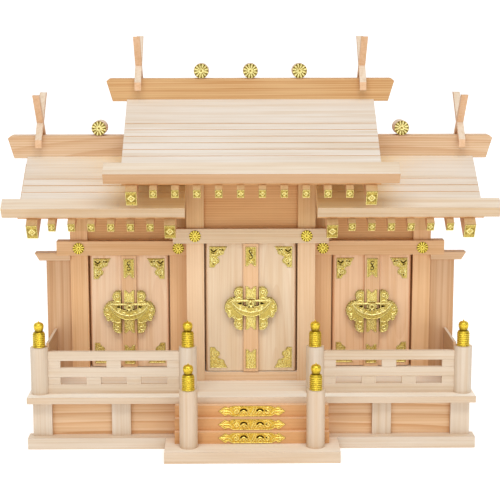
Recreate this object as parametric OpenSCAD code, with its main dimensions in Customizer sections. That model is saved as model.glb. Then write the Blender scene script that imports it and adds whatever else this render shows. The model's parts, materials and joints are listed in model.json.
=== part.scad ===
// Household shrine of three bays under stepped roofs, in plain timber with gold fittings.
// Front faces -Y, width runs along X, height along Z; the origin is under the middle of the footprint.

/* [Overall] */
// Depth from the stair plinth's front to the rear eaves
overall_depth = 254; // [240:1:290]
// Width of the veranda floor and of the base's front bar
floor_w = 508; // [490:1:520]
// Thickness of plain wall boards
board_t = 6; // [4:0.5:8]
// Side of a square post of the bays
post_w = 20.5; // [16:0.5:22]
// Overhang of the rear eaves behind the back wall
rear_overhang = 28.5; // [24:0.5:36]

/* [Base] */
// Height of the base frame and of the stair plinth
base_h = 13; // [9:0.5:18]
// Depth of each bar of the base frame
base_bar_d = 20; // [14:1:30]
// Height of the base posts between frame and floor
base_post_h = 40; // [30:1:60]
// Setback of the base posts from the front bar's face
base_post_setback = 11; // [4:0.5:14]
// Setback of the base panels behind the posts' faces
base_panel_setback = 6; // [2:0.5:10]
// Side of a square post of the base
base_post_w = 21.5; // [16:0.5:23]
// Distance of the outer base posts' centres from the floor's ends
base_post_inset = 16; // [12:0.5:26]
// Distance of the inner base posts from the middle
base_post_inner_x = 148.5; // [120:1:170]
// Thickness of the veranda floor
floor_t = 7.5; // [5:0.5:12]

/* [Stair] */
// Distance that the stair plinth stands ahead of the base
stair_ahead = 53.5; // [46:0.5:60]
// Width of the stair plinth
stair_base_w = 194; // [180:1:210]
// Width of the steps
step_w = 173; // [150:1:178]
// Going of each step
step_run = 7.5; // [5:0.5:8]
// Number of steps
step_count = 3; // [3:1:3]
// Distance of each stair post from the middle
stair_post_x = 70.5; // [60:0.5:75]
// Diameter of the round posts
round_post_d = 20.4; // [16:0.2:21]
// Height of the stair posts above the plinth
stair_post_h = 65; // [55:1:80]
// Length of a gold plate on a riser
stair_plate_w = 76; // [60:1:100]
// Part of a riser's height that its plate covers
stair_plate_share = 0.92; // [0.7:0.02:0.94]

/* [Railing] */
// Height of the railing posts above the floor
rail_post_h = 54; // [50:1:70]
// Setback of the railing posts' centres from the floor's front edge
rail_setback = 21; // [18:0.5:26]
// Distance of the corner posts' centres from the floor's ends
rail_corner_inset = 12.6; // [11:0.2:16]
// Distance of the inner posts from the middle
rail_inner_x = 72.5; // [66:0.5:80]
// Thickness of the rails, front to back
rail_d = 5.5; // [4:0.5:8]
// Height of each rail
rail_h = 10.6; // [8:0.2:11]
// Gap between rails, which the blocks fill
rail_gap = 8.5; // [6:0.5:9]
// Width of a block between rails
rail_block_w = 16.4; // [10:0.2:24]
// Width of the end blocks, beside the posts
rail_end_w = 13.6; // [8:0.2:18]
// Thickness of the side rails
side_rail_d = 3; // [2:0.5:6]
// Distance of the side rails inside the corner posts' centres
side_rail_inset = 9.5; // [5:0.5:10]
// Height that the top side rail stands over the front one
side_rail_rise = 9.4; // [0:0.2:12]

/* [Bays] */
// Depth of the veranda in front of the centre bay
veranda_d = 72; // [70:0.5:85]
// Distance that the centre bay stands ahead of the wings
center_ahead = 24; // [20:1:30]
// Half width of the centre bay, outside its posts
center_half_w = 75; // [72:0.5:80]
// Half width across both wing bays, outside their posts
wing_half_w = 212.8; // [205:0.2:216]
// Height of the door sills
sill_h = 10.5; // [8:0.5:14]
// Height of the wing door openings above their sills
wing_door_h = 136.5; // [125:0.5:138]
// Height of the centre door opening above its sill
center_door_h = 154.5; // [150:0.5:158]
// Height of the head beams
beam_h = 17; // [12:0.5:17]
// Depth of the head beams
beam_d = 16; // [12:0.5:18]
// Distance that a head beam stands ahead of its posts
beam_proud = 4; // [2:0.5:6]
// Length of a head beam's nose past its post
beam_nose = 15.5; // [8:0.5:16]
// Diameter of the rosettes on the head beams
rosette_d = 13.4; // [10:0.2:15]

/* [Side screens] */
// Width of a screen beside its wing
screen_w = 28.6; // [24:0.1:30]
// Setback of the screens behind the wings' fronts
screen_setback = 2; // [1:0.5:6]
// Height of the screen panels above the floor
screen_h = 141; // [110:1:144]
// Height of the cap on a screen
screen_cap_h = 9; // [7:0.5:14]
// Distance that the cap reaches past the screen
screen_cap_reach = 13; // [8:0.5:13]
// Distance that the cap stands out from the screen, in front and behind
screen_cap_proud = 5; // [3:0.5:6]
// Slant of the cap's end
screen_cap_slant = 5.5; // [2:0.5:7]

/* [Doors] */
// Thickness of a door leaf
leaf_t = 8; // [6:0.5:9]
// Setback of the leaves behind the posts' faces
leaf_setback = 3; // [2:0.5:5]
// Gap between a leaf and its post, and half of that between sill and leaf
leaf_gap = 1.6; // [1.4:0.1:2.5]
// Gap between the two leaves of a pair
meeting_gap = 0.8; // [0.6:0.1:1.5]
// Width of the strip that covers the meeting edges
strip_w = 17.5; // [14:0.5:20]
// Thickness of that strip
strip_t = 3; // [2:0.5:4]
// Clearance between the strip and the leaf that it only covers
strip_clear = 0.6; // [0.5:0.1:1]
// Thickness of the gold plates
plate_t = 1; // [0.8:0.1:1.2]
// Width of the crescent-shaped lock across both leaves
lock_w = 47; // [40:1:54]
// Height of the lock under its rod
lock_h = 19; // [14:0.5:21]
// Height of the openings between the rod and the crescent
lock_eye_h = 7; // [4:0.5:9]
// Thickness of the crescent
lock_t = 4; // [3:0.5:5]
// Diameter of the lock's rod
lock_rod_d = 3.2; // [2:0.2:4]
// Width of a corner plate
corner_w = 20.8; // [16:0.2:24]
// Height of a corner plate
corner_h = 25; // [18:0.5:28]
// Distance of the corner plates from the leaf's edges
corner_inset = 4.6; // [3:0.2:6]
// Length of the plates at the strip's ends
strip_plate_h = 23; // [16:0.5:28]
// Height of the ornament around the lock
ornament_h = 52; // [44:1:56]

/* [Roofs] */
// Slope of every roof in degrees
roof_slope = 35; // [33:0.5:36]
// Height of the wing roofs' peak above the ground
wing_peak_z = 331.3; // [327:0.1:336]
// Height of the main roof's peak above the ground
main_peak_z = 397.5; // [394:0.5:402]
// Distance of the ridge line behind the wing fronts
ridge_behind = 15.5; // [12:0.5:20]
// Run of the wing roofs from ridge to front eave
wing_run = 84.5; // [80:0.5:88]
// Run of the main roof from ridge to front eave
main_run = 118.5; // [112:0.5:122]
// Reach of the wing eaves past the wings' walls
wing_eave_out = 68.9; // [62:0.1:72]
// Reach of the wing roof plates past the wings' walls
wing_plate_out = 47.7; // [42:0.1:50]
// Reach of the wing soffits past the wings' walls
wing_soffit_out = 51.5; // [48:0.1:56]
// Half width of the main eave
main_eave_x = 163.5; // [158:0.5:165]
// Half width of the main roof plate
main_plate_x = 143.5; // [141:0.5:148]
// Thickness of a roof plate and of an eave board
roof_t = 14; // [12:0.5:15]
// Thickness of the soffit under a plate
soffit_t = 2.5; // [2:0.5:4]
// Width of the main eave boards along the slope
main_eave_w = 19.5; // [12:0.5:24]
// Width of the wing eave boards along the slope
wing_eave_w = 16.5; // [12:0.5:22]
// Spacing of the shallow grooves along the slope
groove_pitch = 11.4; // [9.6:0.2:12]
// Width and depth of each groove
groove_w = 0.8; // [0.6:0.1:1]

/* [Rafters] */
// Width of a rafter
rafter_w = 8.4; // [7:0.2:11]
// Depth of a rafter, square to the slope
rafter_h = 11.3; // [9:0.1:13]
// Reach of the rafters past the eave board
rafter_reach = 7.5; // [5:0.5:12]
// Width of a bargeboard
barge_w = 12.7; // [10:0.1:14]
// Depth of a bargeboard, square to the slope
barge_h = 19.5; // [16:0.5:21]
// Reach of the bargeboards past the eave board
barge_reach = 10.3; // [8:0.1:13]
// Distance of the main bargeboards from the middle
main_barge_x = 132.6; // [126:0.2:136]
// Distance of the wings' outer bargeboards from the wings' walls
wing_barge_out = 35; // [24:0.5:40]
// Distance of the wings' inner bargeboards from the centre bay
wing_barge_in = 17; // [14:0.5:19]
// Number of main rafters between the bargeboards
main_rafter_count = 10; // [8:1:10]
// Number of rafters between a wing's bargeboards
wing_rafter_count = 6; // [5:1:6]

/* [Ridge] */
// Width of the ridge beams, front to back
ridge_w = 22; // [18:0.5:26]
// Height of the ridge beams above the peak
ridge_rise = 16.5; // [14:0.5:20]
// Half length of the main ridge beam at its top
main_ridge_x = 167; // [160:0.5:172]
// Reach of the wing ridge beams past the wings' walls
wing_ridge_out = 70.2; // [64:0.1:72]
// Slant of the ridge beams' ends
ridge_slant = 7; // [3:0.5:9]
// Diameter of the ridge logs
log_d = 17.4; // [14:0.2:19]
// Diameter of the gold discs on the logs
log_cap_d = 16.6; // [13:0.2:18]
// Length of the ridge logs
log_len = 24; // [20:1:40]
// Spacing of the logs on the main ridge
main_log_pitch = 57; // [45:1:62]
// Distance of the wing logs from the middle
wing_log_x = 176.5; // [174:0.5:190]
// Angle of the forked finials' arms from level
chigi_angle = 47; // [44:1:52]
// Thickness of the arms, square to their length
chigi_t = 6.5; // [5:0.5:7.5]
// Width of the arms along the ridge
chigi_w = 7.5; // [6:0.5:10]
// Height of the crossing above the ridge beam
chigi_cross_h = 14.8; // [13:0.2:15.4]
// Height of the arms above the crossing
chigi_arm_h = 33.5; // [26:0.5:40]
// Distance that the feet stand out from the ridge beam's faces
chigi_foot = 11; // [6:0.5:13]
// Distance of the main forked finials from the middle
main_chigi_x = 130; // [118:0.5:140]
// Distance of the wings' forked finials past the wings' walls
wing_chigi_out = 33.2; // [22:0.1:42]

/* [Hidden] */
$fn = 48;

// Hairline joint between like boards that meet.
joint = 0.2;

wood = "burlywood";
dark_wood = "tan";
gold = "gold";

stair_front_y = -overall_depth / 2;
base_front_y = stair_front_y + stair_ahead;
center_front_y = base_front_y + veranda_d;
wing_front_y = center_front_y + center_ahead;
ridge_y = wing_front_y + ridge_behind;
rear_run = overall_depth / 2 - ridge_y;
back_y = overall_depth / 2 - rear_overhang;
base_post_outer_x = floor_w / 2 - base_post_inset;
rail_corner_x = floor_w / 2 - rail_corner_inset;
wing_eave_x = wing_half_w + wing_eave_out;
wing_plate_x = wing_half_w + wing_plate_out;
wing_soffit_x = wing_half_w + wing_soffit_out;
wing_ridge_x = wing_half_w + wing_ridge_out;
wing_chigi_x = wing_half_w + wing_chigi_out;
wing_barge_outer_x = wing_half_w + wing_barge_out;
wing_barge_inner_x = center_half_w + wing_barge_in;

floor_z = base_h + base_post_h;
floor_top_z = floor_z + floor_t;
sill_top_z = floor_top_z + sill_h;
wing_beam_z = sill_top_z + wing_door_h;
center_beam_z = sill_top_z + center_door_h;
post_front_y = base_front_y + base_post_setback;
panel_front_y = post_front_y + base_panel_setback;
rail_y = base_front_y + rail_setback;

// Height of a point on a roof's underside plane, at a distance from the ridge.
roof_under = roof_t + soffit_t;
function under_z(peak, h, below = roof_under) = peak - h * tan(roof_slope) - below / cos(roof_slope);
// Point of a slope: u runs down from the peak along the plate's top, n is the height square to it.
function slope_h(u, n) = u * cos(roof_slope) + n * sin(roof_slope);
function slope_z(peak, u, n) = peak - u * sin(roof_slope) + n * cos(roof_slope);
function slope_u(h, n) = (h - n * sin(roof_slope)) / cos(roof_slope);
function eave_u(run) = slope_u(run, 0);

module block(x0, x1, y0, y1, z0, z1) {
    translate([x0, y0, z0])
        cube([x1 - x0, y1 - y0, z1 - z0]);
}

module mirrored(axis) {
    children();
    mirror(axis)
        children();
}

module both_sides() {
    mirrored([1, 0, 0])
        children();
}

// Prism along X with a section given as points [y, z].
module section_along_x(x0, x1, points) {
    translate([x0, 0, 0])
        rotate([90, 0, 90])
            linear_extrude(x1 - x0)
                polygon(points);
}

// Prism along X with a section given as points [u, n] of a slope; side is -1 for front, 1 for rear.
module slope_prism(x0, x1, peak, side, points) {
    section_along_x(x0, x1,
        [for (p = points) [ridge_y + side * slope_h(p[0], p[1]), slope_z(peak, p[0], p[1])]]);
}

// Flat shape in the XZ plane, seen from the front, standing ahead of y by a thickness.
module front_plate(y, t) {
    translate([0, y, 0])
        rotate([90, 0, 0])
            linear_extrude(t)
                children();
}

// The bars of the frame meet in hairline butt joints.
module base_frame() {
    out_x = base_post_outer_x + base_post_w / 2;
    rear_y = back_y - base_bar_d;
    color(wood) {
        block(-floor_w / 2, floor_w / 2, base_front_y, base_front_y + base_bar_d, 0, base_h);
        block(-out_x, out_x, rear_y, back_y, 0, base_h);
        both_sides()
            block(out_x - base_post_w, out_x, base_front_y + base_bar_d + joint, rear_y - joint, 0, base_h);
    }
}

module base_posts() {
    color(wood)
        both_sides() {
            for (x = [base_post_outer_x, base_post_inner_x])
                block(x - base_post_w / 2, x + base_post_w / 2, post_front_y, post_front_y + base_post_w, base_h, floor_z);
            block(base_post_outer_x - base_post_w / 2, base_post_outer_x + base_post_w / 2,
                back_y - base_post_w, back_y, base_h, floor_z);
        }
}

module base_panels() {
    outer_in = base_post_outer_x - base_post_w / 2;
    inner_out = base_post_inner_x + base_post_w / 2;
    inner_in = base_post_inner_x - base_post_w / 2;
    color(dark_wood) {
        block(-inner_in, inner_in, panel_front_y, panel_front_y + board_t, base_h, floor_z);
        block(-outer_in, outer_in, back_y - base_panel_setback - board_t, back_y - base_panel_setback,
            base_h, floor_z);
        both_sides() {
            block(inner_out, outer_in, panel_front_y, panel_front_y + board_t, base_h, floor_z);
            block(base_post_outer_x - board_t / 2, base_post_outer_x + board_t / 2,
                post_front_y + base_post_w, back_y - base_post_w, base_h, floor_z);
        }
    }
}

module veranda_floor() {
    color(wood)
        block(-floor_w / 2, floor_w / 2, base_front_y, back_y, floor_z, floor_top_z);
}

module stair_base() {
    color(wood)
        block(-stair_base_w / 2, stair_base_w / 2, stair_front_y, base_front_y, 0, base_h);
}

step_rise = base_post_h / step_count;
stair_post_y = stair_front_y + stair_ahead / 5 + round_post_d / 2;
step_front_y = base_front_y - step_run * step_count;

module stair_step(i) {
    front_y = step_front_y + i * step_run;
    color(wood)
        block(-step_w / 2, step_w / 2, front_y, panel_front_y,
            base_h + i * step_rise, base_h + (i + 1) * step_rise);
}

module stair_step_lower() { stair_step(0); }
module stair_step_middle() { stair_step(1); }
module stair_step_upper() { stair_step(2); }

// Long plate with chamfered shoulders, a neck and a barbed point at each end.
module stair_plate_shape(w, h) {
    half = [[w * 0.285, h * 0.5], [w * 0.338, h * 0.34], [w * 0.36, h * 0.33], [w * 0.384, h * 0.46],
        [w * 0.412, h * 0.4], [w * 0.455, h * 0.2], [w * 0.5, 0]];
    upper = concat([for (p = half) p], [for (i = [5 : -1 : 0]) [half[i][0], -half[i][1]]]);
    polygon(concat(upper, [for (i = [12 : -1 : 0]) [-upper[i][0], upper[i][1]]]));
}

module stair_plates() {
    color(gold)
        for (i = [0 : step_count - 1])
            front_plate(step_front_y + i * step_run, plate_t)
                translate([0, base_h + (i + 0.5) * step_rise])
                    stair_plate_shape(stair_plate_w, step_rise * stair_plate_share);
}

rail_z = [for (i = [0 : 2]) floor_top_z + i * (rail_h + rail_gap)];

// Blocks in one gap between rails, with even spaces between them; the end ones reach into the posts.
module rail_blocks(x0, x1, z, inner, d) {
    r = round_post_d / 2;
    clear = x1 - x0 - 2 * (r + rail_end_w) - inner * rail_block_w;
    pitch = clear / (inner + 1) + rail_block_w;
    first = x0 + r + rail_end_w + clear / (inner + 1);
    block(x0, x0 + r + rail_end_w, -d * 0.4, d * 0.4, z - joint, z + rail_gap + joint);
    block(x1 - r - rail_end_w, x1, -d * 0.4, d * 0.4, z - joint, z + rail_gap + joint);
    for (i = [0 : 1 : inner - 1])
        block(first + i * pitch, first + i * pitch + rail_block_w, -d * 0.4, d * 0.4,
            z - joint, z + rail_gap + joint);
}

// Three rails along X between two posts' centres, with one or two blocks in their gaps.
module rail_panel(x0, x1, d, upper, lower, rise) {
    for (i = [0 : 2])
        block(x0, x1, -d / 2, d / 2, rail_z[i], rail_z[i] + rail_h + (i == 2 ? rise : 0));
    rail_blocks(x0, x1, rail_z[1] + rail_h, upper, d);
    rail_blocks(x0, x1, rail_z[0] + rail_h, lower, d);
}

module front_railing() {
    color(wood)
        difference() {
            translate([0, rail_y, 0])
                rail_panel(rail_inner_x, rail_corner_x, rail_d, 1, 2, 0);
            for (x = [rail_inner_x, rail_corner_x])
                translate([x, rail_y, floor_top_z])
                    cylinder(d = round_post_d, h = rail_post_h);
        }
}

module front_railing_right() { front_railing(); }
module front_railing_left() { mirror([1, 0, 0]) front_railing(); }

screen_front_y = wing_front_y + screen_setback;

// Side rails end at the screen, or at the wing's front where they stand before it.
side_rail_x = rail_corner_x - side_rail_inset;
side_rail_end_y = side_rail_x - side_rail_d / 2 < wing_half_w ? wing_front_y : screen_front_y;

// Side railing from the corner post and the front railing's end back to its rear end.
module side_railing() {
    color(wood)
        difference() {
            translate([side_rail_x, rail_y, 0])
                rotate(90)
                    rail_panel(0, side_rail_end_y - rail_y, side_rail_d, 0, 1, side_rail_rise);
            translate([rail_corner_x, rail_y, floor_top_z])
                cylinder(d = round_post_d, h = rail_post_h);
            block(0, rail_corner_x, rail_y - rail_d, rail_y + rail_d / 2 + joint, floor_z, rail_z[2] + rail_h);
        }
}

module side_railing_right() { side_railing(); }
module side_railing_left() { mirror([1, 0, 0]) side_railing(); }

module railing_posts() {
    color(wood)
        both_sides()
            for (x = [rail_corner_x, rail_inner_x])
                translate([x, rail_y, floor_top_z])
                    cylinder(d = round_post_d, h = rail_post_h);
}

module stair_posts() {
    color(wood)
        both_sides()
            translate([stair_post_x, stair_post_y, base_h])
                cylinder(d = round_post_d, h = stair_post_h);
}

// Onion-shaped finial: a sleeve with a rounded shoulder and bead rings, and a flattened ball with a point.
finial_d = 13.8;
finial_sleeve_h = 18.8;
finial_ball_d = 11.8;
finial_ball_r = 3.6;
finial_neck_d = 7.2;
finial_h = 31;
finial_ring_r = 1;

module finial() {
    body_r = finial_d * 0.45;
    shoulder_r = finial_d * 0.2;
    ball_x = finial_ball_d / 2 - finial_ball_r;
    ball_z = finial_sleeve_h + finial_ball_r + 1.8;
    rotate_extrude() {
        square([finial_d / 2, finial_ring_r * 2]);
        square([body_r, finial_sleeve_h - shoulder_r]);
        square([body_r - shoulder_r, finial_sleeve_h]);
        translate([body_r - shoulder_r, finial_sleeve_h - shoulder_r])
            circle(shoulder_r);
        for (z = [0.24, 0.4, 0.56, 0.72])
            translate([body_r, finial_sleeve_h * z])
                circle(finial_ring_r);
        square([finial_neck_d / 2, ball_z]);
        translate([0, ball_z - finial_ball_r])
            square([ball_x, finial_ball_r * 2]);
        intersection() {
            translate([ball_x, ball_z])
                circle(finial_ball_r);
            translate([0, ball_z - finial_ball_r])
                square([finial_ball_d, finial_ball_r * 2]);
        }
        polygon([[0, ball_z], [ball_x, ball_z + finial_ball_r], [ball_x * 0.4, finial_h - 1], [0, finial_h]]);
    }
}

module post_finials() {
    color(gold)
        both_sides() {
            for (x = [rail_corner_x, rail_inner_x])
                translate([x, rail_y, floor_top_z + rail_post_h])
                    finial();
            translate([stair_post_x, stair_post_y, base_h + stair_post_h])
                finial();
        }
}

// Square post from the floor to the underside of a roof.
module body_post(x0, front_y, peak) {
    section_along_x(x0, x0 + post_w, [
        [front_y, floor_top_z],
        [front_y + post_w, floor_top_z],
        [front_y + post_w, under_z(peak, abs(ridge_y - front_y - post_w))],
        [min(front_y + post_w, ridge_y), under_z(peak, max(0, ridge_y - front_y - post_w))],
        [front_y, under_z(peak, ridge_y - front_y)]]);
}

module center_beam() {
    reach = center_half_w + beam_nose;
    block(-reach, reach, center_front_y - beam_proud, center_front_y - beam_proud + beam_d,
        center_beam_z, center_beam_z + beam_h);
}

module wing_beam() {
    block(center_half_w, wing_half_w + beam_nose, wing_front_y - beam_proud,
        wing_front_y - beam_proud + beam_d, wing_beam_z, wing_beam_z + beam_h);
}

module body_posts() {
    color(wood)
        both_sides() {
            difference() {
                body_post(center_half_w - post_w, center_front_y, main_peak_z);
                center_beam();
            }
            difference() {
                body_post(center_half_w + joint, wing_front_y, wing_peak_z);
                wing_beam();
            }
            difference() {
                body_post(wing_half_w - post_w, wing_front_y, wing_peak_z);
                wing_beam();
            }
        }
}

module head_beams() {
    color(wood) {
        center_beam();
        both_sides()
            wing_beam();
    }
}

center_open_x = center_half_w - post_w;
wing_open_in = center_half_w + joint + post_w;
wing_open_out = wing_half_w - post_w;

module door_sills() {
    color(wood) {
        block(-center_open_x, center_open_x, center_front_y + 1, center_front_y + post_w,
            floor_top_z, sill_top_z);
        both_sides()
            block(wing_open_in, wing_open_out, wing_front_y + 1, wing_front_y + post_w,
                floor_top_z, sill_top_z);
    }
}

// Board that closes a bay above its head beam.
module upper_panel(x0, x1, front_y, beam_z, peak) {
    y0 = front_y + 5;
    y1 = y0 + board_t;
    section_along_x(x0, x1, [
        [y0, beam_z + beam_h],
        [y1, beam_z + beam_h],
        [y1, under_z(peak, ridge_y - y1)],
        [y0, under_z(peak, ridge_y - y0)]]);
}

module upper_panels() {
    color(dark_wood) {
        upper_panel(-center_open_x, center_open_x, center_front_y, center_beam_z, main_peak_z);
        both_sides()
            upper_panel(wing_open_in, wing_open_out, wing_front_y, wing_beam_z, wing_peak_z);
    }
}

module back_wall() {
    y0 = back_y - board_t;
    color(wood) {
        section_along_x(-center_half_w, center_half_w, [
            [y0, floor_top_z], [back_y, floor_top_z],
            [back_y, under_z(main_peak_z, back_y - ridge_y)], [y0, under_z(main_peak_z, y0 - ridge_y)]]);
        both_sides()
            section_along_x(center_half_w + joint, wing_half_w, [
                [y0, floor_top_z], [back_y, floor_top_z],
                [back_y, under_z(wing_peak_z, back_y - ridge_y)],
                [y0, under_z(wing_peak_z, y0 - ridge_y)]]);
    }
}

// Side wall from a front post to the back wall, with its top under the roof.
module side_wall(x0, front_y, peak) {
    y0 = front_y + post_w;
    y1 = back_y - board_t;
    top = y0 < ridge_y ? [[ridge_y, under_z(peak, 0)]] : [];
    section_along_x(x0, x0 + board_t, concat(
        [[y0, floor_top_z], [y1, floor_top_z], [y1, under_z(peak, y1 - ridge_y)]],
        top,
        [[y0, under_z(peak, abs(ridge_y - y0))]]));
}

module side_walls() {
    color(wood)
        both_sides() {
            side_wall(center_half_w - board_t, center_front_y, main_peak_z);
            side_wall(wing_half_w - board_t, wing_front_y, wing_peak_z);
        }
}

screen_out_x = wing_half_w + screen_w;
screen_top_z = floor_top_z + screen_h;

module side_screens() {
    color(wood)
        both_sides()
            block(wing_half_w, screen_out_x, screen_front_y, screen_front_y + board_t,
                floor_top_z, screen_top_z);
}

module side_screen_caps() {
    tip_x = screen_out_x + screen_cap_reach;
    color(wood)
        both_sides()
            difference() {
                front_plate(screen_front_y + board_t + screen_cap_proud, board_t + 2 * screen_cap_proud)
                    polygon([[wing_half_w, screen_top_z], [tip_x - screen_cap_slant, screen_top_z],
                        [tip_x, screen_top_z + screen_cap_h], [wing_half_w, screen_top_z + screen_cap_h]]);
                wing_beam();
            }
}

module rosette() {
    circle(d = rosette_d);
}

module beam_rosettes() {
    post_mid = post_w / 2;
    color(gold)
        both_sides() {
            front_plate(center_front_y - beam_proud, plate_t)
                translate([center_half_w - post_mid, center_beam_z + beam_h / 2])
                    rosette();
            front_plate(wing_front_y - beam_proud, plate_t)
                for (x = [center_half_w + post_mid, wing_half_w - post_mid])
                    translate([x, wing_beam_z + beam_h / 2])
                        rosette();
        }
}

// Leaf with a rounded hinge edge, for a bay whose middle is at the origin.
module leaf(half_w, front_y, height) {
    r = leaf_t / 2;
    pivot_x = leaf_gap + r - half_w;
    axis_y = front_y + leaf_setback + r;
    bottom = sill_top_z + leaf_gap / 2;
    block(pivot_x, -meeting_gap / 2, axis_y - r, axis_y + r, bottom, sill_top_z + height - leaf_gap / 2);
    translate([pivot_x, axis_y, bottom])
        cylinder(r = r, h = height - leaf_gap);
}

center_door_half = center_open_x;
wing_door_half = (wing_open_out - wing_open_in) / 2;
wing_door_x = (wing_open_out + wing_open_in) / 2;

module strip(front_y, height) {
    face_y = front_y + leaf_setback;
    bottom = sill_top_z + leaf_gap / 2;
    top = sill_top_z + height - leaf_gap / 2;
    difference() {
        block(-strip_w / 2, strip_w / 2, face_y - strip_t - strip_clear, face_y, bottom, top);
        block(-meeting_gap / 2, strip_w, face_y - strip_clear, face_y + 1, bottom - 1, top + 1);
    }
}

// Corner plate with two lobes along its slanting edge; its square corner is at the origin.
module corner_plate() {
    w = corner_w;
    h = corner_h;
    polygon([[0, 0], [w, 0], [w * 0.86, h * 0.2], [w * 0.7, h * 0.38], [w * 0.46, h * 0.5],
        [w * 0.52, h * 0.72], [w * 0.36, h * 0.88], [w * 0.28, h], [0, h]]);
    translate([w * 0.66, h * 0.27])
        circle(w * 0.17);
    translate([w * 0.39, h * 0.68])
        circle(w * 0.18);
}

// Half of the butterfly ornament, beside the strip at the right of the origin.
module butterfly_half(h) {
    intersection() {
        translate([0, h * 0.5]) {
            translate([h * 0.17, 0])
                circle(h * 0.23);
            mirrored([0, 1, 0]) {
                translate([h * 0.06, h * 0.36])
                    circle(h * 0.14);
                translate([h * 0.29, h * 0.15])
                    circle(h * 0.085);
                square([h * 0.12, h * 0.3]);
            }
        }
        square([h * 0.5, h]);
    }
}

// Plate on the strip, with a swallow-tail notch at its top.
module strip_plate(h) {
    difference() {
        square([strip_w * 0.72, h]);
        swallow_tail(h);
    }
}

module swallow_tail(z) {
    w = strip_w * 0.72;
    polygon([[w * 0.2, z + 1], [w * 0.2, z], [w * 0.5, z - w * 0.3], [w * 0.8, z], [w * 0.8, z + 1]]);
}

// Segment of a disc under a level chord through the origin.
module segment(w, h) {
    r = (w * w / 4 + h * h) / (2 * h);
    intersection() {
        translate([0, r - h])
            circle(r, $fn = 96);
        translate([-w / 2, -h])
            square([w, h]);
    }
}

// Crescent with two openings under its rod, parted by a middle block.
module lock_shape() {
    difference() {
        segment(lock_w, lock_h);
        translate([0, 1])
            segment(lock_w * 0.88, lock_eye_h + 1);
    }
    translate([-lock_w * 0.09, -lock_h * 0.6])
        square([lock_w * 0.18, lock_h * 0.6 + lock_rod_d / 2]);
}

module leaf_fittings(half_w, front_y, height) {
    left = leaf_gap - half_w + corner_inset;
    bottom = sill_top_z + corner_inset;
    top = sill_top_z + height - corner_inset;
    mid = sill_top_z + height * 0.5;
    front_plate(front_y + leaf_setback, plate_t) {
        translate([left, bottom])
            corner_plate();
        translate([left, top])
            mirror([0, 1])
                corner_plate();
        translate([-strip_w / 2 - 0.8, mid - ornament_h / 2])
            mirror([1, 0])
                butterfly_half(ornament_h);
    }
}

// Plates on the strip, and the lock across them.
module strip_fittings(front_y, height) {
    face_y = front_y + leaf_setback - strip_t - strip_clear;
    bottom = sill_top_z + corner_inset;
    top = sill_top_z + height - corner_inset;
    mid = sill_top_z + height * 0.5;
    rod_z = mid + ornament_h * 0.18;
    plate_w = strip_w * 0.72;
    front_plate(face_y, plate_t)
        translate([-plate_w / 2, 0]) {
            translate([0, bottom])
                strip_plate(strip_plate_h);
            translate([0, top])
                mirror([0, 1])
                    strip_plate(strip_plate_h);
            translate([0, mid])
                mirrored([0, 1, 0])
                    strip_plate(ornament_h / 2);
        }
    front_plate(face_y - plate_t, lock_t)
        translate([0, rod_z])
            lock_shape();
    translate([-lock_w * 0.46, face_y - plate_t - lock_t / 2, rod_z])
        rotate([0, 90, 0])
            cylinder(d = lock_rod_d, h = lock_w * 0.92);
}

module center_door_left() { color(wood) leaf(center_door_half, center_front_y, center_door_h); }
module center_door_right() { mirror([1, 0, 0]) center_door_left(); }
module center_door_strip() { color(wood) strip(center_front_y, center_door_h); }
module center_door_left_fittings() {
    color(gold) {
        leaf_fittings(center_door_half, center_front_y, center_door_h);
        strip_fittings(center_front_y, center_door_h);
    }
}
module center_door_right_fittings() {
    color(gold)
        mirror([1, 0, 0])
            leaf_fittings(center_door_half, center_front_y, center_door_h);
}

module wing_door_left() { color(wood) leaf(wing_door_half, wing_front_y, wing_door_h); }
module wing_door_right() { mirror([1, 0, 0]) wing_door_left(); }
module wing_door_strip() { color(wood) strip(wing_front_y, wing_door_h); }
module wing_door_left_fittings() {
    color(gold) {
        leaf_fittings(wing_door_half, wing_front_y, wing_door_h);
        strip_fittings(wing_front_y, wing_door_h);
    }
}
module wing_door_right_fittings() {
    color(gold)
        mirror([1, 0, 0])
            leaf_fittings(wing_door_half, wing_front_y, wing_door_h);
}
module at_left_bay() { translate([-wing_door_x, 0, 0]) children(); }
module at_right_bay() { translate([wing_door_x, 0, 0]) children(); }

// Plate of one slope, from the ridge to the eave board, with grooves near its lower edge.
module roof_plate(x0, x1, peak, side, run, eave_w, grooves) {
    u_end = eave_u(run) - eave_w;
    difference() {
        slope_prism(x0, x1, peak, side,
            [[0, 0], [u_end, 0], [u_end, -roof_t], [roof_t * tan(roof_slope), -roof_t]]);
        for (i = [1 : 1 : grooves])
            slope_prism(x0 - 1, x1 + 1, peak, side, [
                [u_end - i * groove_pitch, 1],
                [u_end - i * groove_pitch + groove_w, 1],
                [u_end - i * groove_pitch + groove_w, -groove_w],
                [u_end - i * groove_pitch, -groove_w]]);
    }
}

module front_roof_slopes() {
    color(wood) {
        roof_plate(-main_plate_x, main_plate_x, main_peak_z, -1, main_run, main_eave_w, 6);
        both_sides()
            roof_plate(center_half_w, wing_plate_x, wing_peak_z, -1, wing_run, wing_eave_w, 3);
    }
}

module back_roof_slopes() {
    color(wood) {
        roof_plate(-main_plate_x, main_plate_x, main_peak_z, 1, rear_run, main_eave_w, 0);
        both_sides()
            roof_plate(center_half_w, wing_plate_x, wing_peak_z, 1, rear_run, wing_eave_w, 0);
    }
}

// Board along an eave, flush with the plate; the front ones are longer than it.
module eave_board(x0, x1, peak, side, run, eave_w) {
    u1 = eave_u(run);
    slope_prism(x0, x1, peak, side,
        [[u1 - eave_w, 0], [u1, 0], [u1, -roof_t], [u1 - eave_w, -roof_t]]);
}

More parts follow.
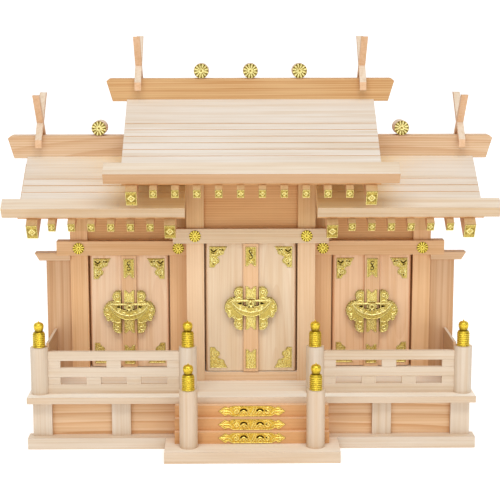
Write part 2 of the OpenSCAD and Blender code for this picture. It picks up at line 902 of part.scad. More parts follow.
module eave_boards() {
    color(wood) {
        eave_board(-main_eave_x, main_eave_x, main_peak_z, -1, main_run, main_eave_w);
        eave_board(-main_plate_x, main_plate_x, main_peak_z, 1, rear_run, main_eave_w);
        both_sides() {
            eave_board(center_half_w, wing_eave_x, wing_peak_z, -1, wing_run, wing_eave_w);
            eave_board(center_half_w, wing_plate_x, wing_peak_z, 1, rear_run, wing_eave_w);
        }
    }
}

module soffit(x0, x1, peak, side, run) {
    u1 = eave_u(run) - 1;
    slope_prism(x0, x1, peak, side, [
        [slope_u(joint, -roof_t), -roof_t], [u1, -roof_t],
        [u1, -roof_under], [slope_u(joint, -roof_under), -roof_under]]);
}

module roof_soffits() {
    color(dark_wood) {
        soffit(-main_plate_x, main_plate_x, main_peak_z, -1, main_run);
        soffit(-main_plate_x, main_plate_x, main_peak_z, 1, rear_run);
        both_sides() {
            soffit(center_half_w, wing_soffit_x, wing_peak_z, -1, wing_run);
            soffit(center_half_w, wing_soffit_x, wing_peak_z, 1, rear_run);
        }
    }
}

// Stick under the soffit from a distance h0 off the ridge to past the eave, at x.
module slope_stick(x, w, height, peak, side, h0, u1) {
    slope_prism(x - w / 2, x + w / 2, peak, side, [
        [slope_u(h0, -roof_under), -roof_under], [u1, -roof_under],
        [u1, -roof_under - height], [slope_u(h0, -roof_under - height), -roof_under - height]]);
}

main_rafter_pitch = 2 * main_barge_x / (main_rafter_count + 1);
wing_rafter_pitch = (wing_barge_outer_x - wing_barge_inner_x) / (wing_rafter_count + 1);
main_wall_h = ridge_y - center_front_y;
wing_wall_h = ridge_y - wing_front_y;
main_rafter_x = [for (i = [1 : main_rafter_count]) i * main_rafter_pitch - main_barge_x];
wing_rafter_x = [for (i = [1 : wing_rafter_count]) i * wing_rafter_pitch + wing_barge_inner_x];

module rafters() {
    color(wood) {
        for (x = main_rafter_x)
            slope_stick(x, rafter_w, rafter_h, main_peak_z, -1, main_wall_h,
                eave_u(main_run) + rafter_reach);
        both_sides()
            for (x = wing_rafter_x)
                slope_stick(x, rafter_w, rafter_h, wing_peak_z, -1, wing_wall_h,
                    eave_u(wing_run) + rafter_reach);
    }
}

module wing_ridge() {
    z0 = under_z(wing_peak_z, ridge_w / 2, 0) - 2;
    z1 = wing_peak_z + ridge_rise;
    translate([0, ridge_y + ridge_w / 2, 0])
        rotate([90, 0, 0])
            linear_extrude(ridge_w)
                polygon([[center_half_w, z0], [wing_ridge_x - ridge_slant, z0], [wing_ridge_x, z1 - 3],
                    [wing_ridge_x - 3.5, z1], [center_half_w, z1]]);
}

module bargeboards() {
    color(wood) {
        both_sides() {
            difference() {
                union() {
                    slope_stick(main_barge_x, barge_w, barge_h, main_peak_z, -1, joint,
                        eave_u(main_run) + barge_reach);
                    slope_stick(main_barge_x, barge_w, barge_h, main_peak_z, 1, joint,
                        eave_u(rear_run) - 2);
                }
                wing_ridge();
            }
            slope_stick(wing_barge_outer_x, barge_w, barge_h, wing_peak_z, -1, joint,
                eave_u(wing_run) + barge_reach);
            slope_stick(wing_barge_outer_x, barge_w, barge_h, wing_peak_z, 1, joint,
                eave_u(rear_run) - 2);
            slope_stick(wing_barge_inner_x, barge_w, barge_h, wing_peak_z, -1, wing_wall_h,
                eave_u(wing_run) + barge_reach);
        }
    }
}

// Gold cap on the end of a stick, standing proud of it.
module stick_cap(x, w, height, peak, u1) {
    slope_prism(x - w / 2, x + w / 2, peak, -1, [
        [u1, -roof_under], [u1 + plate_t, -roof_under],
        [u1 + plate_t, -roof_under - height], [u1, -roof_under - height]]);
}

module rafter_caps() {
    color(gold) {
        for (x = main_rafter_x)
            stick_cap(x, rafter_w, rafter_h, main_peak_z, eave_u(main_run) + rafter_reach);
        both_sides() {
            stick_cap(main_barge_x, barge_w, barge_h, main_peak_z, eave_u(main_run) + barge_reach);
            for (x = wing_rafter_x)
                stick_cap(x, rafter_w, rafter_h, wing_peak_z, eave_u(wing_run) + rafter_reach);
            for (x = [wing_barge_inner_x, wing_barge_outer_x])
                stick_cap(x, barge_w, barge_h, wing_peak_z, eave_u(wing_run) + barge_reach);
        }
    }
}

// Space under both slopes of a roof, to notch what sits astride the ridge.
module roof_wedge(x0, x1, peak) {
    drop = 60;
    section_along_x(x0, x1, [
        [ridge_y, peak], [ridge_y + drop, peak - drop * tan(roof_slope)],
        [ridge_y - drop, peak - drop * tan(roof_slope)]]);
}

module main_ridge() {
    z0 = under_z(main_peak_z, ridge_w / 2, 0) - 2;
    z1 = main_peak_z + ridge_rise;
    translate([0, ridge_y + ridge_w / 2, 0])
        rotate([90, 0, 0])
            linear_extrude(ridge_w)
                polygon([[ridge_slant - main_ridge_x, z0], [main_ridge_x - ridge_slant, z0],
                    [main_ridge_x, z1 - 3], [main_ridge_x - 3.5, z1],
                    [3.5 - main_ridge_x, z1], [-main_ridge_x, z1 - 3]]);
}

module ridge_beams() {
    color(wood) {
        difference() {
            main_ridge();
            roof_wedge(-main_plate_x, main_plate_x, main_peak_z);
        }
        both_sides()
            difference() {
                wing_ridge();
                roof_wedge(center_half_w - 1, wing_plate_x, wing_peak_z);
            }
    }
}

module ridge_log(x, peak) {
    translate([x, ridge_y + log_len / 2, peak + ridge_rise + log_d / 2])
        rotate([90, 0, 0])
            cylinder(d = log_d, h = log_len);
}

module log_cap(x, peak) {
    translate([x, ridge_y - log_len / 2, peak + ridge_rise + log_d / 2])
        rotate([90, 0, 0])
            cylinder(d = log_cap_d, h = plate_t);
}

module ridge_logs() {
    color(wood) {
        for (x = [-main_log_pitch, 0, main_log_pitch])
            ridge_log(x, main_peak_z);
        both_sides()
            ridge_log(wing_log_x, wing_peak_z);
    }
}

module ridge_log_caps() {
    color(gold) {
        for (x = [-main_log_pitch, 0, main_log_pitch])
            log_cap(x, main_peak_z);
        both_sides()
            log_cap(wing_log_x, wing_peak_z);
    }
}

// Two crossed arms astride the ridge beam, level at their tops and cut upright at their feet.
module forked_finial(x, peak) {
    z0 = peak + ridge_rise;
    cross_z = z0 + chigi_cross_h;
    top_z = cross_z + chigi_arm_h;
    foot_y = ridge_w / 2 + chigi_foot;
    foot_z = cross_z - foot_y * tan(chigi_angle) - chigi_t;
    arm_l = chigi_arm_h / sin(chigi_angle) + chigi_t;
    foot_l = foot_y / cos(chigi_angle) + chigi_t;
    tip_y = arm_l * cos(chigi_angle);
    difference() {
        intersection() {
            translate([x, ridge_y, cross_z])
                mirrored([0, 1, 0])
                    rotate([chigi_angle, 0, 0])
                        block(-chigi_w / 2, chigi_w / 2, -foot_l, arm_l, -chigi_t / 2, chigi_t / 2);
            union() {
                block(x - chigi_w, x + chigi_w, ridge_y - tip_y, ridge_y + tip_y, cross_z, top_z);
                block(x - chigi_w, x + chigi_w, ridge_y - foot_y, ridge_y + foot_y, foot_z, cross_z + 1);
            }
        }
        block(x - chigi_w, x + chigi_w, ridge_y - ridge_w / 2, ridge_y + ridge_w / 2, foot_z - 1, z0);
    }
}

module chigi() {
    color(wood)
        both_sides() {
            forked_finial(main_chigi_x, main_peak_z);
            forked_finial(wing_chigi_x, wing_peak_z);
        }
}

base_frame();
base_posts();
base_panels();
veranda_floor();
stair_base();
stair_step_lower();
stair_step_middle();
stair_step_upper();
stair_plates();
front_railing_left();
front_railing_right();
side_railing_left();
side_railing_right();
railing_posts();
stair_posts();
post_finials();
body_posts();
head_beams();
door_sills();
upper_panels();
back_wall();
side_walls();
side_screens();
side_screen_caps();
beam_rosettes();
center_door_left();
center_door_right();
center_door_strip();
center_door_left_fittings();
center_door_right_fittings();
at_left_bay() wing_door_left();  // left_door_left
at_left_bay() wing_door_right();  // left_door_right
at_left_bay() wing_door_strip();  // left_door_strip
at_left_bay() wing_door_left_fittings();  // left_door_left_fittings
at_left_bay() wing_door_right_fittings();  // left_door_right_fittings
at_right_bay() wing_door_left();  // right_door_left
at_right_bay() wing_door_right();  // right_door_right
at_right_bay() wing_door_strip();  // right_door_strip
at_right_bay() wing_door_left_fittings();  // right_door_left_fittings
at_right_bay() wing_door_right_fittings();  // right_door_right_fittings
front_roof_slopes();
back_roof_slopes();
eave_boards();
roof_soffits();
rafters();
bargeboards();
rafter_caps();
ridge_beams();
ridge_logs();
ridge_log_caps();
chigi();
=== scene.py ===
"""Looks of a household shrine in plain timber with embossed, gold-coloured fittings."""

import json
import math
from typing import NamedTuple

import bpy
import numpy as np
from mathutils import Euler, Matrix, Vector
from mathutils.geometry import delaunay_2d_cdt


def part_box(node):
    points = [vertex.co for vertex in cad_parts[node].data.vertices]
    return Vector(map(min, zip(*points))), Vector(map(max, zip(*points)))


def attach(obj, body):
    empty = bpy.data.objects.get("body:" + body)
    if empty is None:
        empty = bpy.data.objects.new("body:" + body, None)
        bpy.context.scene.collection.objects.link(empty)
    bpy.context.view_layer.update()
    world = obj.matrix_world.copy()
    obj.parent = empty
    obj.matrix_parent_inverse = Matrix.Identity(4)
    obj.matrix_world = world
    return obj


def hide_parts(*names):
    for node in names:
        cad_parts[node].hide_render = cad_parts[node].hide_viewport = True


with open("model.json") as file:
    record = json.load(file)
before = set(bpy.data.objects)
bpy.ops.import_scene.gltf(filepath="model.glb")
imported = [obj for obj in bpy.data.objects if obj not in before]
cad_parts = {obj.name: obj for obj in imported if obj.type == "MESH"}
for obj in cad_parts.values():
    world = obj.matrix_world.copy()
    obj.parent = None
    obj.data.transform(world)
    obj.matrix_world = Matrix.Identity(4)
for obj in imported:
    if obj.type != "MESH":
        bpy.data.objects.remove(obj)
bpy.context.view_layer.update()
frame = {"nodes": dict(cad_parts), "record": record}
nodes = frame["nodes"]

MM = 0.001
BAYS = ("center", "left", "right")


# Materials

def new_material(name):
    material = bpy.data.materials.new(name)
    material.use_nodes = True
    tree = material.node_tree
    return material, tree, tree.nodes["Principled BSDF"]


def add_node(tree, kind, **inputs):
    """A shader node with some of its inputs set."""
    node = tree.nodes.new(kind)
    for key, value in inputs.items():
        node.inputs[key.replace("_", " ")].default_value = value
    return node


WHITE = (1.0, 1.0, 1.0)

# Rays of an occlusion or bevel node
SHADER_SAMPLES = 4


def ramp(tree, source, stops):
    """Colour ramp over a value, from stops of (place, colour)."""
    node = tree.nodes.new("ShaderNodeValToRGB")
    elements = node.color_ramp.elements
    while len(elements) < len(stops):
        elements.new(0.5)
    for element, (place, colour) in zip(elements, stops):
        element.position = place
        element.color = (*colour, 1.0)
    tree.links.new(source, node.inputs["Fac"])
    return node.outputs["Color"]


def map_range(tree, source, low, high, to_low=0.0, to_high=1.0):
    """A value carried from one range to another and held at its ends."""
    node = add_node(tree, "ShaderNodeMapRange", From_Min=low, From_Max=high, To_Min=to_low, To_Max=to_high)
    tree.links.new(source, node.inputs["Value"])
    return node.outputs["Result"]


def absolute(tree, source):
    node = tree.nodes.new("ShaderNodeMath")
    node.operation = "ABSOLUTE"
    tree.links.new(source, node.inputs[0])
    return node.outputs["Value"]


def separate(tree, vector):
    """The X, Y and Z of a vector, by name."""
    node = tree.nodes.new("ShaderNodeSeparateXYZ")
    tree.links.new(vector, node.inputs["Vector"])
    return node.outputs


def mix(tree, factor, a, b, blend="MIX"):
    """Colour mix; the factor may be a number or a socket."""
    node = tree.nodes.new("ShaderNodeMix")
    node.data_type = "RGBA"
    node.blend_type = blend
    if isinstance(factor, float):
        node.inputs["Factor"].default_value = factor
    else:
        tree.links.new(factor, node.inputs["Factor"])
    tree.links.new(a, node.inputs["A"])
    tree.links.new(b, node.inputs["B"])
    return node.outputs["Result"]


def tint(tree, factor, colour, source, stops):
    """Colour multiplied by a ramp over a value."""
    return mix(tree, factor, colour, ramp(tree, source, stops), "MULTIPLY")


def noise(tree, vector, scale, detail=2.0, distortion=0.0):
    """Noise over a vector that is scaled along each axis."""
    stretch = add_node(tree, "ShaderNodeMapping", Scale=scale)
    tree.links.new(vector, stretch.inputs["Vector"])
    node = add_node(tree, "ShaderNodeTexNoise", Scale=1.0, Detail=detail, Distortion=distortion)
    tree.links.new(stretch.outputs["Vector"], node.inputs["Vector"])
    return node.outputs["Fac"]


# Length over which a wave texture of scale 1 repeats
WAVE_PERIOD = 2 * math.pi / 20


def rings(tree, vector, spacing, stretch, heart, distortion):
    """Growth rings about a heart, a spacing apart across the grain and drawn out along it."""
    across = WAVE_PERIOD / spacing
    scale = (across / stretch, across, across)
    place = add_node(tree, "ShaderNodeMapping", Scale=scale, Location=[-s * h for s, h in zip(scale, heart)])
    tree.links.new(vector, place.inputs["Vector"])
    wave = add_node(tree, "ShaderNodeTexWave", Scale=1.0, Distortion=distortion, Detail=2.0,
                    Detail_Scale=0.7)
    wave.wave_type = "RINGS"
    wave.rings_direction = "SPHERICAL"
    wave.wave_profile = "SAW"
    tree.links.new(place.outputs["Vector"], wave.inputs["Vector"])
    return wave.outputs["Fac"]


def occlusion(tree, distance):
    """How open a place is, from 0 in a crease to 1 on an open face."""
    node = add_node(tree, "ShaderNodeAmbientOcclusion", Distance=distance)
    node.samples = SHADER_SAMPLES
    return node.outputs["AO"]


def shade(colour, gain):
    return tuple(min(1.0, channel * g) for channel, g in zip(colour, gain))


QUARTER = math.radians(90)
GRAIN_ROTATION = {"x": (0.0, 0.0, 0.0), "y": (0.0, 0.0, QUARTER), "z": (0.0, QUARTER, 0.0)}

# Noise per metre, along the grain and across it
BROAD_GRAIN = (7.0, 45.0, 45.0)
STREAK_GRAIN = (5.0, 260.0, 260.0)
FIBRE_GRAIN = (25.0, 1500.0, 1500.0)

# Parts of a normal between which a face turns into a sideways or an upward one; upward faces get painted
# light and shade from above
SIDEWAYS = (0.6, 0.7)
LIT_UPWARD = (0.2, 0.75)

# Streaks: their places in the noise, and the gains of the darkest and the lightest
STREAK_STOPS = (0.34, 0.5, 0.66)
STREAK_DARK = (0.95, 0.90, 0.83)
STREAK_LIGHT = (1.03, 1.04, 1.06)

# Tints over a board, a fine ring, a wide ring and a fibre, and painted shade in a corner
BOARD_STOPS = [(0.32, (0.95, 0.91, 0.86)), (0.62, WHITE)]
FINE_RING_STOPS = [(0.0, WHITE), (0.6, (0.97, 0.95, 0.92)), (0.88, (0.84, 0.70, 0.54))]
WIDE_RING_STOPS = [(0.0, WHITE), (0.55, (0.97, 0.94, 0.90)), (0.9, (0.80, 0.62, 0.44))]
FIBRE_STOPS = [(0.35, (0.9, 0.85, 0.78)), (0.6, WHITE)]
CORNER_SHADE_STOPS = [(0.2, (0.80, 0.60, 0.42)), (0.65, WHITE)]
BOARD_TINT, FIBRE_TINT, CORNER_SHADE_TINT = 0.8, 0.35, 0.7

# Growth rings: spacing, stretch along the grain and wander; the heart of the fine ones is outside the boards
FINE_RING, FINE_STRETCH, FINE_WANDER = 2.7 * MM, 14.0, 2.0
WIDE_RING, WIDE_STRETCH, WIDE_WANDER = 7.5 * MM, 10.0, 3.0
FAR_HEART = (0.05, 0.17, -0.24)

# Fine rings are strongest where the broad noise is low
BROAD_SPAN = (0.3, 0.7)
FIGURE_MOST, FIGURE_LEAST = 1.25, 0.4

# Reach of the painted shade in corners and under covering boards, and the openness over which a place gets
# painted covered shade
CORNER_REACH = 9.0 * MM
COVERED_REACH = 120.0 * MM
COVERED = (0.75, 0.3)

# Blur between two front tones, rounding of edges, and the planed surface
TONE_EDGE = 0.1 * MM
EDGE_ROUND = 0.5 * MM
FIBRE_DEPTH, FIBRE_BUMP = 0.4 * MM, 0.12
STREAK_SPAN, WOOD_ROUGH = (0.2, 0.8), (0.52, 0.68)
WOOD_SPECULAR = 0.25


def wood(name, timber):
    """Planed cypress: grain along one axis, growth rings, and another tone painted on upward faces for the
    light and shade from above.
    """
    material, tree, shader = new_material(name)
    link = tree.links.new
    coords = tree.nodes.new("ShaderNodeTexCoord").outputs["Object"]
    places = separate(tree, coords)
    facing = separate(tree, tree.nodes.new("ShaderNodeNewGeometry").outputs["Normal"])

    def turned(grain):
        turn = add_node(tree, "ShaderNodeMapping", Rotation=GRAIN_ROTATION[grain])
        link(coords, turn.inputs["Vector"])
        return turn.outputs["Vector"]

    along = turned(timber.grain)
    if timber.side_grain:
        aside = map_range(tree, absolute(tree, facing["X"]), *SIDEWAYS)
        along = mix(tree, aside, along, turned(timber.side_grain))

    broad = noise(tree, along, BROAD_GRAIN, detail=1.0)
    streak = noise(tree, along, STREAK_GRAIN, detail=3.0, distortion=0.3)
    fibre = noise(tree, along, FIBRE_GRAIN)

    def toned(tone):
        tones = (shade(tone, STREAK_DARK), tone, shade(tone, STREAK_LIGHT))
        return ramp(tree, streak, list(zip(STREAK_STOPS, tones)))

    face = toned(timber.front)
    for axis, place, tone in timber.others:
        beyond = map_range(tree, absolute(tree, places[axis]), place - TONE_EDGE, place + TONE_EDGE)
        face = mix(tree, beyond, face, toned(tone))
    # Upward faces get their painted tone for the light and shade from above
    colour = mix(tree, map_range(tree, facing["Z"], *LIT_UPWARD), face, toned(timber.top))

    colour = tint(tree, BOARD_TINT, colour, broad, BOARD_STOPS)
    fine = rings(tree, along, FINE_RING, FINE_STRETCH, FAR_HEART, FINE_WANDER)
    figure = map_range(tree, broad, *BROAD_SPAN, FIGURE_MOST * timber.figure, FIGURE_LEAST * timber.figure)
    colour = tint(tree, figure, colour, fine, FINE_RING_STOPS)
    if timber.heart:
        wide = rings(tree, along, WIDE_RING, WIDE_STRETCH, timber.heart, WIDE_WANDER)
        colour = tint(tree, timber.cathedral, colour, wide, WIDE_RING_STOPS)
    colour = tint(tree, FIBRE_TINT, colour, fibre, FIBRE_STOPS)

    # Painted shade under the eaves and other covering boards: the shade colour mixed in where the wide
    # occlusion closes in
    if timber.shade:
        covered = map_range(tree, occlusion(tree, COVERED_REACH), *COVERED)
        colour = mix(tree, covered, colour, toned(timber.shade))
    # Painted shade in creases and corners: darker and warmer where nearby faces close in
    colour = tint(tree, CORNER_SHADE_TINT, colour, occlusion(tree, CORNER_REACH), CORNER_SHADE_STOPS)
    link(colour, shader.inputs["Base Color"])

    link(map_range(tree, streak, *STREAK_SPAN, *WOOD_ROUGH), shader.inputs["Roughness"])
    bevel = add_node(tree, "ShaderNodeBevel", Radius=EDGE_ROUND)
    bevel.samples = SHADER_SAMPLES
    bump = add_node(tree, "ShaderNodeBump", Strength=FIBRE_BUMP, Distance=FIBRE_DEPTH)
    link(fibre, bump.inputs["Height"])
    link(bevel.outputs["Normal"], bump.inputs["Normal"])
    link(bump.outputs["Normal"], shader.inputs["Normal"])
    shader.inputs["Specular IOR Level"].default_value = WOOD_SPECULAR
    return material


# Gilt tones, from the painted shade of pierced marks to the painted highlight of raised lines. LEMON is the
# gilt in the white light high up; the tones after it are the same gilt low down with a painted warm
# reflection of the wood and floor; BRIGHT is the same gilt painted brighter and more yellow against the
# shade under the eaves, also on the post caps
PIERCED_SHADE = (0.030, 0.019, 0.004)
LEMON = {"low": (0.24, 0.17, 0.022), "mid": (0.74, 0.57, 0.13), "high": (1.0, 0.93, 0.42)}
WARM_REFLECTED = {"low": (0.28, 0.15, 0.012), "mid": (0.94, 0.62, 0.075), "high": (1.0, 0.89, 0.31)}
BRIGHT = {"low": (0.26, 0.17, 0.006), "mid": (0.87, 0.63, 0.045), "high": (1.0, 0.87, 0.17)}

# Relief values of the painted shade of pierced marks, and of the low, middle and high tones
GILT_STOPS = (0.04, 0.2, 0.52, 0.95)

# Grit and larger dark specks, per metre
GRIT_SCALE = (1100.0, 1100.0, 1100.0)
GRIT_DEPTH, GRIT_BUMP = 0.3 * MM, 0.3
SPECK_SCALE = (620.0, 620.0, 620.0)
SPECK_STOPS = [(0.36, (0.55, 0.46, 0.29)), (0.5, (0.95, 0.95, 0.95)), (0.6, WHITE)]
SPECK_TINT = 0.75

GRIT_SPAN, GILT_ROUGH = (0.3, 0.7), (0.38, 0.2)
METAL_SPAN, GILT_METAL = (0.05, 0.3), (1.0, 0.7)
PLAIN_SPAN, PLAIN_RELIEF = (0.2, 0.8), (0.35, 0.85)


def gilt_shader(name, tones, source):
    """Gilded sheet metal; source gives a value from 0 in pierced marks to 1 on raised lines, and the tones
    over it paint shade low and highlight high.
    """
    material, tree, shader = new_material(name)
    link = tree.links.new
    coords = tree.nodes.new("ShaderNodeTexCoord").outputs["Object"]
    grit = noise(tree, coords, GRIT_SCALE)
    value = source(tree, grit)
    stops = list(zip(GILT_STOPS, (PIERCED_SHADE, tones["low"], tones["mid"], tones["high"])))
    colour = tint(tree, SPECK_TINT, ramp(tree, value, stops), noise(tree, coords, SPECK_SCALE), SPECK_STOPS)
    link(colour, shader.inputs["Base Color"])
    link(map_range(tree, grit, *GRIT_SPAN, *GILT_ROUGH), shader.inputs["Roughness"])
    bump = add_node(tree, "ShaderNodeBump", Strength=GRIT_BUMP, Distance=GRIT_DEPTH)
    link(grit, bump.inputs["Height"])
    link(bump.outputs["Normal"], shader.inputs["Normal"])
    link(map_range(tree, value, *METAL_SPAN, *GILT_METAL), shader.inputs["Metallic"])
    return material


def from_relief(tree, grit):
    """The relief that an embossed or turned piece carries at its points."""
    attribute = tree.nodes.new("ShaderNodeAttribute")
    attribute.attribute_name = "relief"
    return attribute.outputs["Fac"]


def from_grit(tree, grit):
    """For gilt nodes without relief of their own."""
    return map_range(tree, grit, *PLAIN_SPAN, *PLAIN_RELIEF)


lemon_gilt = gilt_shader("lemon gilt", LEMON, from_relief)
warm_reflected_gilt = gilt_shader("warm reflected gilt", WARM_REFLECTED, from_relief)
bright_gilt = gilt_shader("bright gilt", BRIGHT, from_relief)
plain_gilt = gilt_shader("plain gilt", LEMON, from_grit)

# Tones that several timbers share: painted tones of upward faces, for the light and shade from above, the
# brightest for the floor and sills as painted light against the shade behind the railing; and the colour of
# painted shade under covering boards
LIT_TOP_PALE = (0.79, 0.68, 0.55)
LIT_TOP_WARM = (0.76, 0.57, 0.38)
LIT_TOP_BRIGHT = (0.98, 0.93, 0.84)
SHADE_WARM = (0.98, 0.70, 0.31)


class Timber(NamedTuple):
    """Look of some nodes.

    figure is the strength of the fine growth lines. The colour after front is painted on upward faces, for
    the light and shade that fall on them from above. others are (axis, place, colour): front colours beyond
    a distance from the origin.
    heart is the middle of wide growth rings, of the strength cathedral. shade is the colour of painted shade
    in covered places, which light between the boards gives them. side_grain is the way of the grain on faces
    that look sideways.
    """
    nodes: list
    grain: str
    front: tuple
    top: tuple = LIT_TOP_PALE
    figure: float = 0.2
    others: list = []
    heart: tuple = None
    cathedral: float = 0.2
    shade: tuple = None
    side_grain: str = None


TIMBERS = [
    Timber(["front_roof_slopes", "back_roof_slopes"], "x", (0.78, 0.62, 0.46), (0.77, 0.69, 0.60), 0.12,
           shade=SHADE_WARM),
    Timber(["eave_boards"], "x", (0.70, 0.54, 0.37), LIT_TOP_PALE, 0.25, [("Z", 0.29, (0.62, 0.39, 0.22))],
           shade=SHADE_WARM),
    Timber(["ridge_beams"], "x", (0.71, 0.51, 0.335), LIT_TOP_WARM, 1.0, [("Z", 0.38, (0.645, 0.405, 0.195))],
           heart=(0.12, 0.0, 0.31), cathedral=0.42),
    # Soffits and upper panels get a darker, warmer front: painted shade under the eaves
    Timber(["roof_soffits", "upper_panels"], "x", (0.75, 0.44, 0.20), LIT_TOP_WARM, 0.9),
    # Rafters and bargeboards get a dark, warm upward tone: painted shade of the eaves on their upper faces
    Timber(["rafters", "bargeboards"], "y", (0.74, 0.45, 0.24), (0.60, 0.41, 0.21), 0.3),
    Timber(["chigi"], "y", (0.76, 0.50, 0.31), LIT_TOP_PALE, 0.2),
    Timber(["ridge_logs"], "y", (0.78, 0.58, 0.40), LIT_TOP_PALE, 0.2),
    Timber(["head_beams"], "x", (0.82, 0.53, 0.29), LIT_TOP_WARM, 0.35, [("Z", 0.225, (0.76, 0.59, 0.40))]),
    Timber(["side_screen_caps"], "x", (0.76, 0.52, 0.32), LIT_TOP_WARM, 0.3),
    Timber(["center_door_left", "center_door_right"], "z", (0.81, 0.65, 0.47), LIT_TOP_PALE, 0.12,
           heart=(0.02, 0.0, -0.03)),
    # Wing leaves get lighter, warmer fronts than the centre leaves: painted light against the shade of the
    # wing eaves
    Timber(["left_door_left", "left_door_right"], "z", (0.92, 0.68, 0.47), LIT_TOP_PALE, 0.15,
           heart=(0.03, 0.02, 0.11)),
    Timber(["right_door_left", "right_door_right"], "z", (0.91, 0.62, 0.39), LIT_TOP_PALE, 0.15,
           heart=(0.24, 0.02, -0.18)),
    Timber(["center_door_strip", "left_door_strip", "right_door_strip"], "z", (0.80, 0.52, 0.30), LIT_TOP_PALE,
           0.25),
    # Posts beyond the centre bay's posts get a warmer front, painted shade on the wing posts beside it;
    # above the beams all posts get a darker front, painted shade under the eaves
    Timber(["body_posts"], "z", (0.81, 0.58, 0.37), LIT_TOP_PALE, 0.3,
           [("X", 0.0751, (0.83, 0.53, 0.29)), ("Z", 0.236, (0.76, 0.50, 0.25))]),
    Timber(["side_walls", "back_wall"], "z", (0.76, 0.52, 0.32), LIT_TOP_PALE, 0.4),
    Timber(["side_screens"], "z", (0.68, 0.44, 0.26), LIT_TOP_PALE, 0.4, heart=(0.20, 0.05, 0.25),
           cathedral=0.4),
    Timber(["door_sills"], "x", (0.80, 0.57, 0.37), LIT_TOP_BRIGHT, 0.2),
    Timber(["veranda_floor"], "x", (0.69, 0.55, 0.41), LIT_TOP_BRIGHT, 0.2),
    Timber(["stair_base"], "x", (0.69, 0.55, 0.41), (0.96, 0.86, 0.72), 0.2),
    Timber(["base_frame"], "x", (0.70, 0.60, 0.49), LIT_TOP_PALE, 0.2, side_grain="y"),
    Timber(["front_railing_left", "front_railing_right"], "x", (0.71, 0.59, 0.46), LIT_TOP_PALE, 0.2),
    # Side railings get a darker, warmer front: painted shade, as on their inner faces towards the house
    Timber(["side_railing_left", "side_railing_right"], "y", (0.60, 0.39, 0.23), LIT_TOP_PALE, 0.2),
    Timber(["railing_posts", "base_posts"], "z", (0.71, 0.60, 0.48), LIT_TOP_PALE, 0.2),
    Timber(["stair_posts"], "z", (0.70, 0.55, 0.41), LIT_TOP_PALE, 0.2),
    Timber(["base_panels"], "x", (0.81, 0.57, 0.36), LIT_TOP_PALE, 0.3, heart=(-0.06, 0.0, -0.02),
           cathedral=0.75, side_grain="y"),
    # Steps get a dark, warm front, painted shade on the risers under the treads, and a bright, warm upward
    # tone, painted light on the treads' edges
    Timber(["stair_step_lower", "stair_step_middle", "stair_step_upper"], "x", (0.72, 0.40, 0.18),
           (0.97, 0.68, 0.44), 0.25),
]


def dress(name, material):
    slots = nodes[name].data.materials
    slots.clear()
    slots.append(material)


for timber in TIMBERS:
    finish = wood("timber of " + timber.nodes[0], timber)
    for node_name in timber.nodes:
        dress(node_name, finish)
for entry in frame["record"]["subparts"]:
    if entry["material_slot"] == "gilt":
        dress(entry["node"], plain_gilt)


# Embossed fittings: lengths in mm

CELL = 0.42
FINE_CELL = 0.7 * CELL
PLATE_T, LOCK_T, LOCK_ROD_D = 1.0, 4.0, 3.2

# Heights of the relief's ground and raised lines above the solid's face, and the depth of pierced marks
GROUND, TOP = -0.65, 0.12
PIERCED = 0.3

# Rim of a plate, the groove inside it, which is only painted shade, and the painted shadow along its edge
RIM_W, RIM_FADE, RIM_HEIGHT = 0.9, 0.5, 0.85
RIM_CREST = 0.6 * RIM_W
GROOVE_AT, GROOVE_W = 1.35 * RIM_W, 0.35
EDGE_SHADE_W, EDGE_SHADE = 0.35, 0.4

# Relief values that the gilt shows: on the ground, added by height as painted highlight, taken by the groove
# as painted shade, and on the walls as painted shade
GROUND_TONE, HEIGHT_HIGHLIGHT, GROOVE_SHADE = 0.3, 0.66, 0.14
WALL_SHADE, FOOT_SHADE = 0.3, 0.2
ROD_TONE = 0.8

# Planes of the reliefs, as right and up: the front, and the rafter ends, square to the roof's slope
FRONT = (Vector((1, 0, 0)), Vector((0, 0, 1)))
SLOPE = math.radians(35)
CAP = (Vector((1, 0, 0)), Vector((0, -math.sin(SLOPE), math.cos(SLOPE))))

# Least cosine between a face's normal and the way it has to look, and the least angle of a sharp edge
FACING = 0.999
SHARP_EDGE = math.radians(60)


def open_edges(faces):
    """Directed edges that only one face has."""
    edges = set()
    for face in faces:
        for a, b in zip(face, [*face[1:], face[0]]):
            if (b, a) in edges:
                edges.discard((b, a))
            elif a != b:
                edges.add((a, b))
    return edges


def flat_faces(name, right, up):
    """Flat faces of a CAD node that look along right x up, each as a loop of (u, v) and its depth."""
    normal = right.cross(up)
    mesh = nodes[name].data
    ids = {}
    points = []
    outlines = []
    for polygon in mesh.polygons:
        if polygon.normal.dot(normal) < FACING:
            continue
        corners = []
        for index in polygon.vertices:
            place = mesh.vertices[index].co / MM
            key = tuple(round(c, 3) for c in place)
            if key not in ids:
                ids[key] = len(points)
                points.append(place)
            corners.append(ids[key])
        outlines.append(corners)
    following = dict(open_edges(outlines))
    open_ends = set(following) - set(following.values())
    faces = []
    while following:
        start = open_ends.pop() if open_ends else next(iter(following))
        loop = [start]
        here = following.pop(start)
        while here != start:
            loop.append(here)
            here = following.pop(here, start)
        flat = np.array([(points[i].dot(right), points[i].dot(up)) for i in loop])
        faces.append((flat, points[start].dot(normal)))
    return faces


def clamp(value):
    return np.clip(value, 0.0, 1.0)


def round_top(x):
    """Half circle over -1 to 1, and 0 beyond."""
    return np.sqrt(clamp(1.0 - x ** 2))


def centred(u, v, low, high):
    """Places from the middle of a plate's box."""
    return u - (low[0] + high[0]) / 2, v - (low[1] + high[1]) / 2


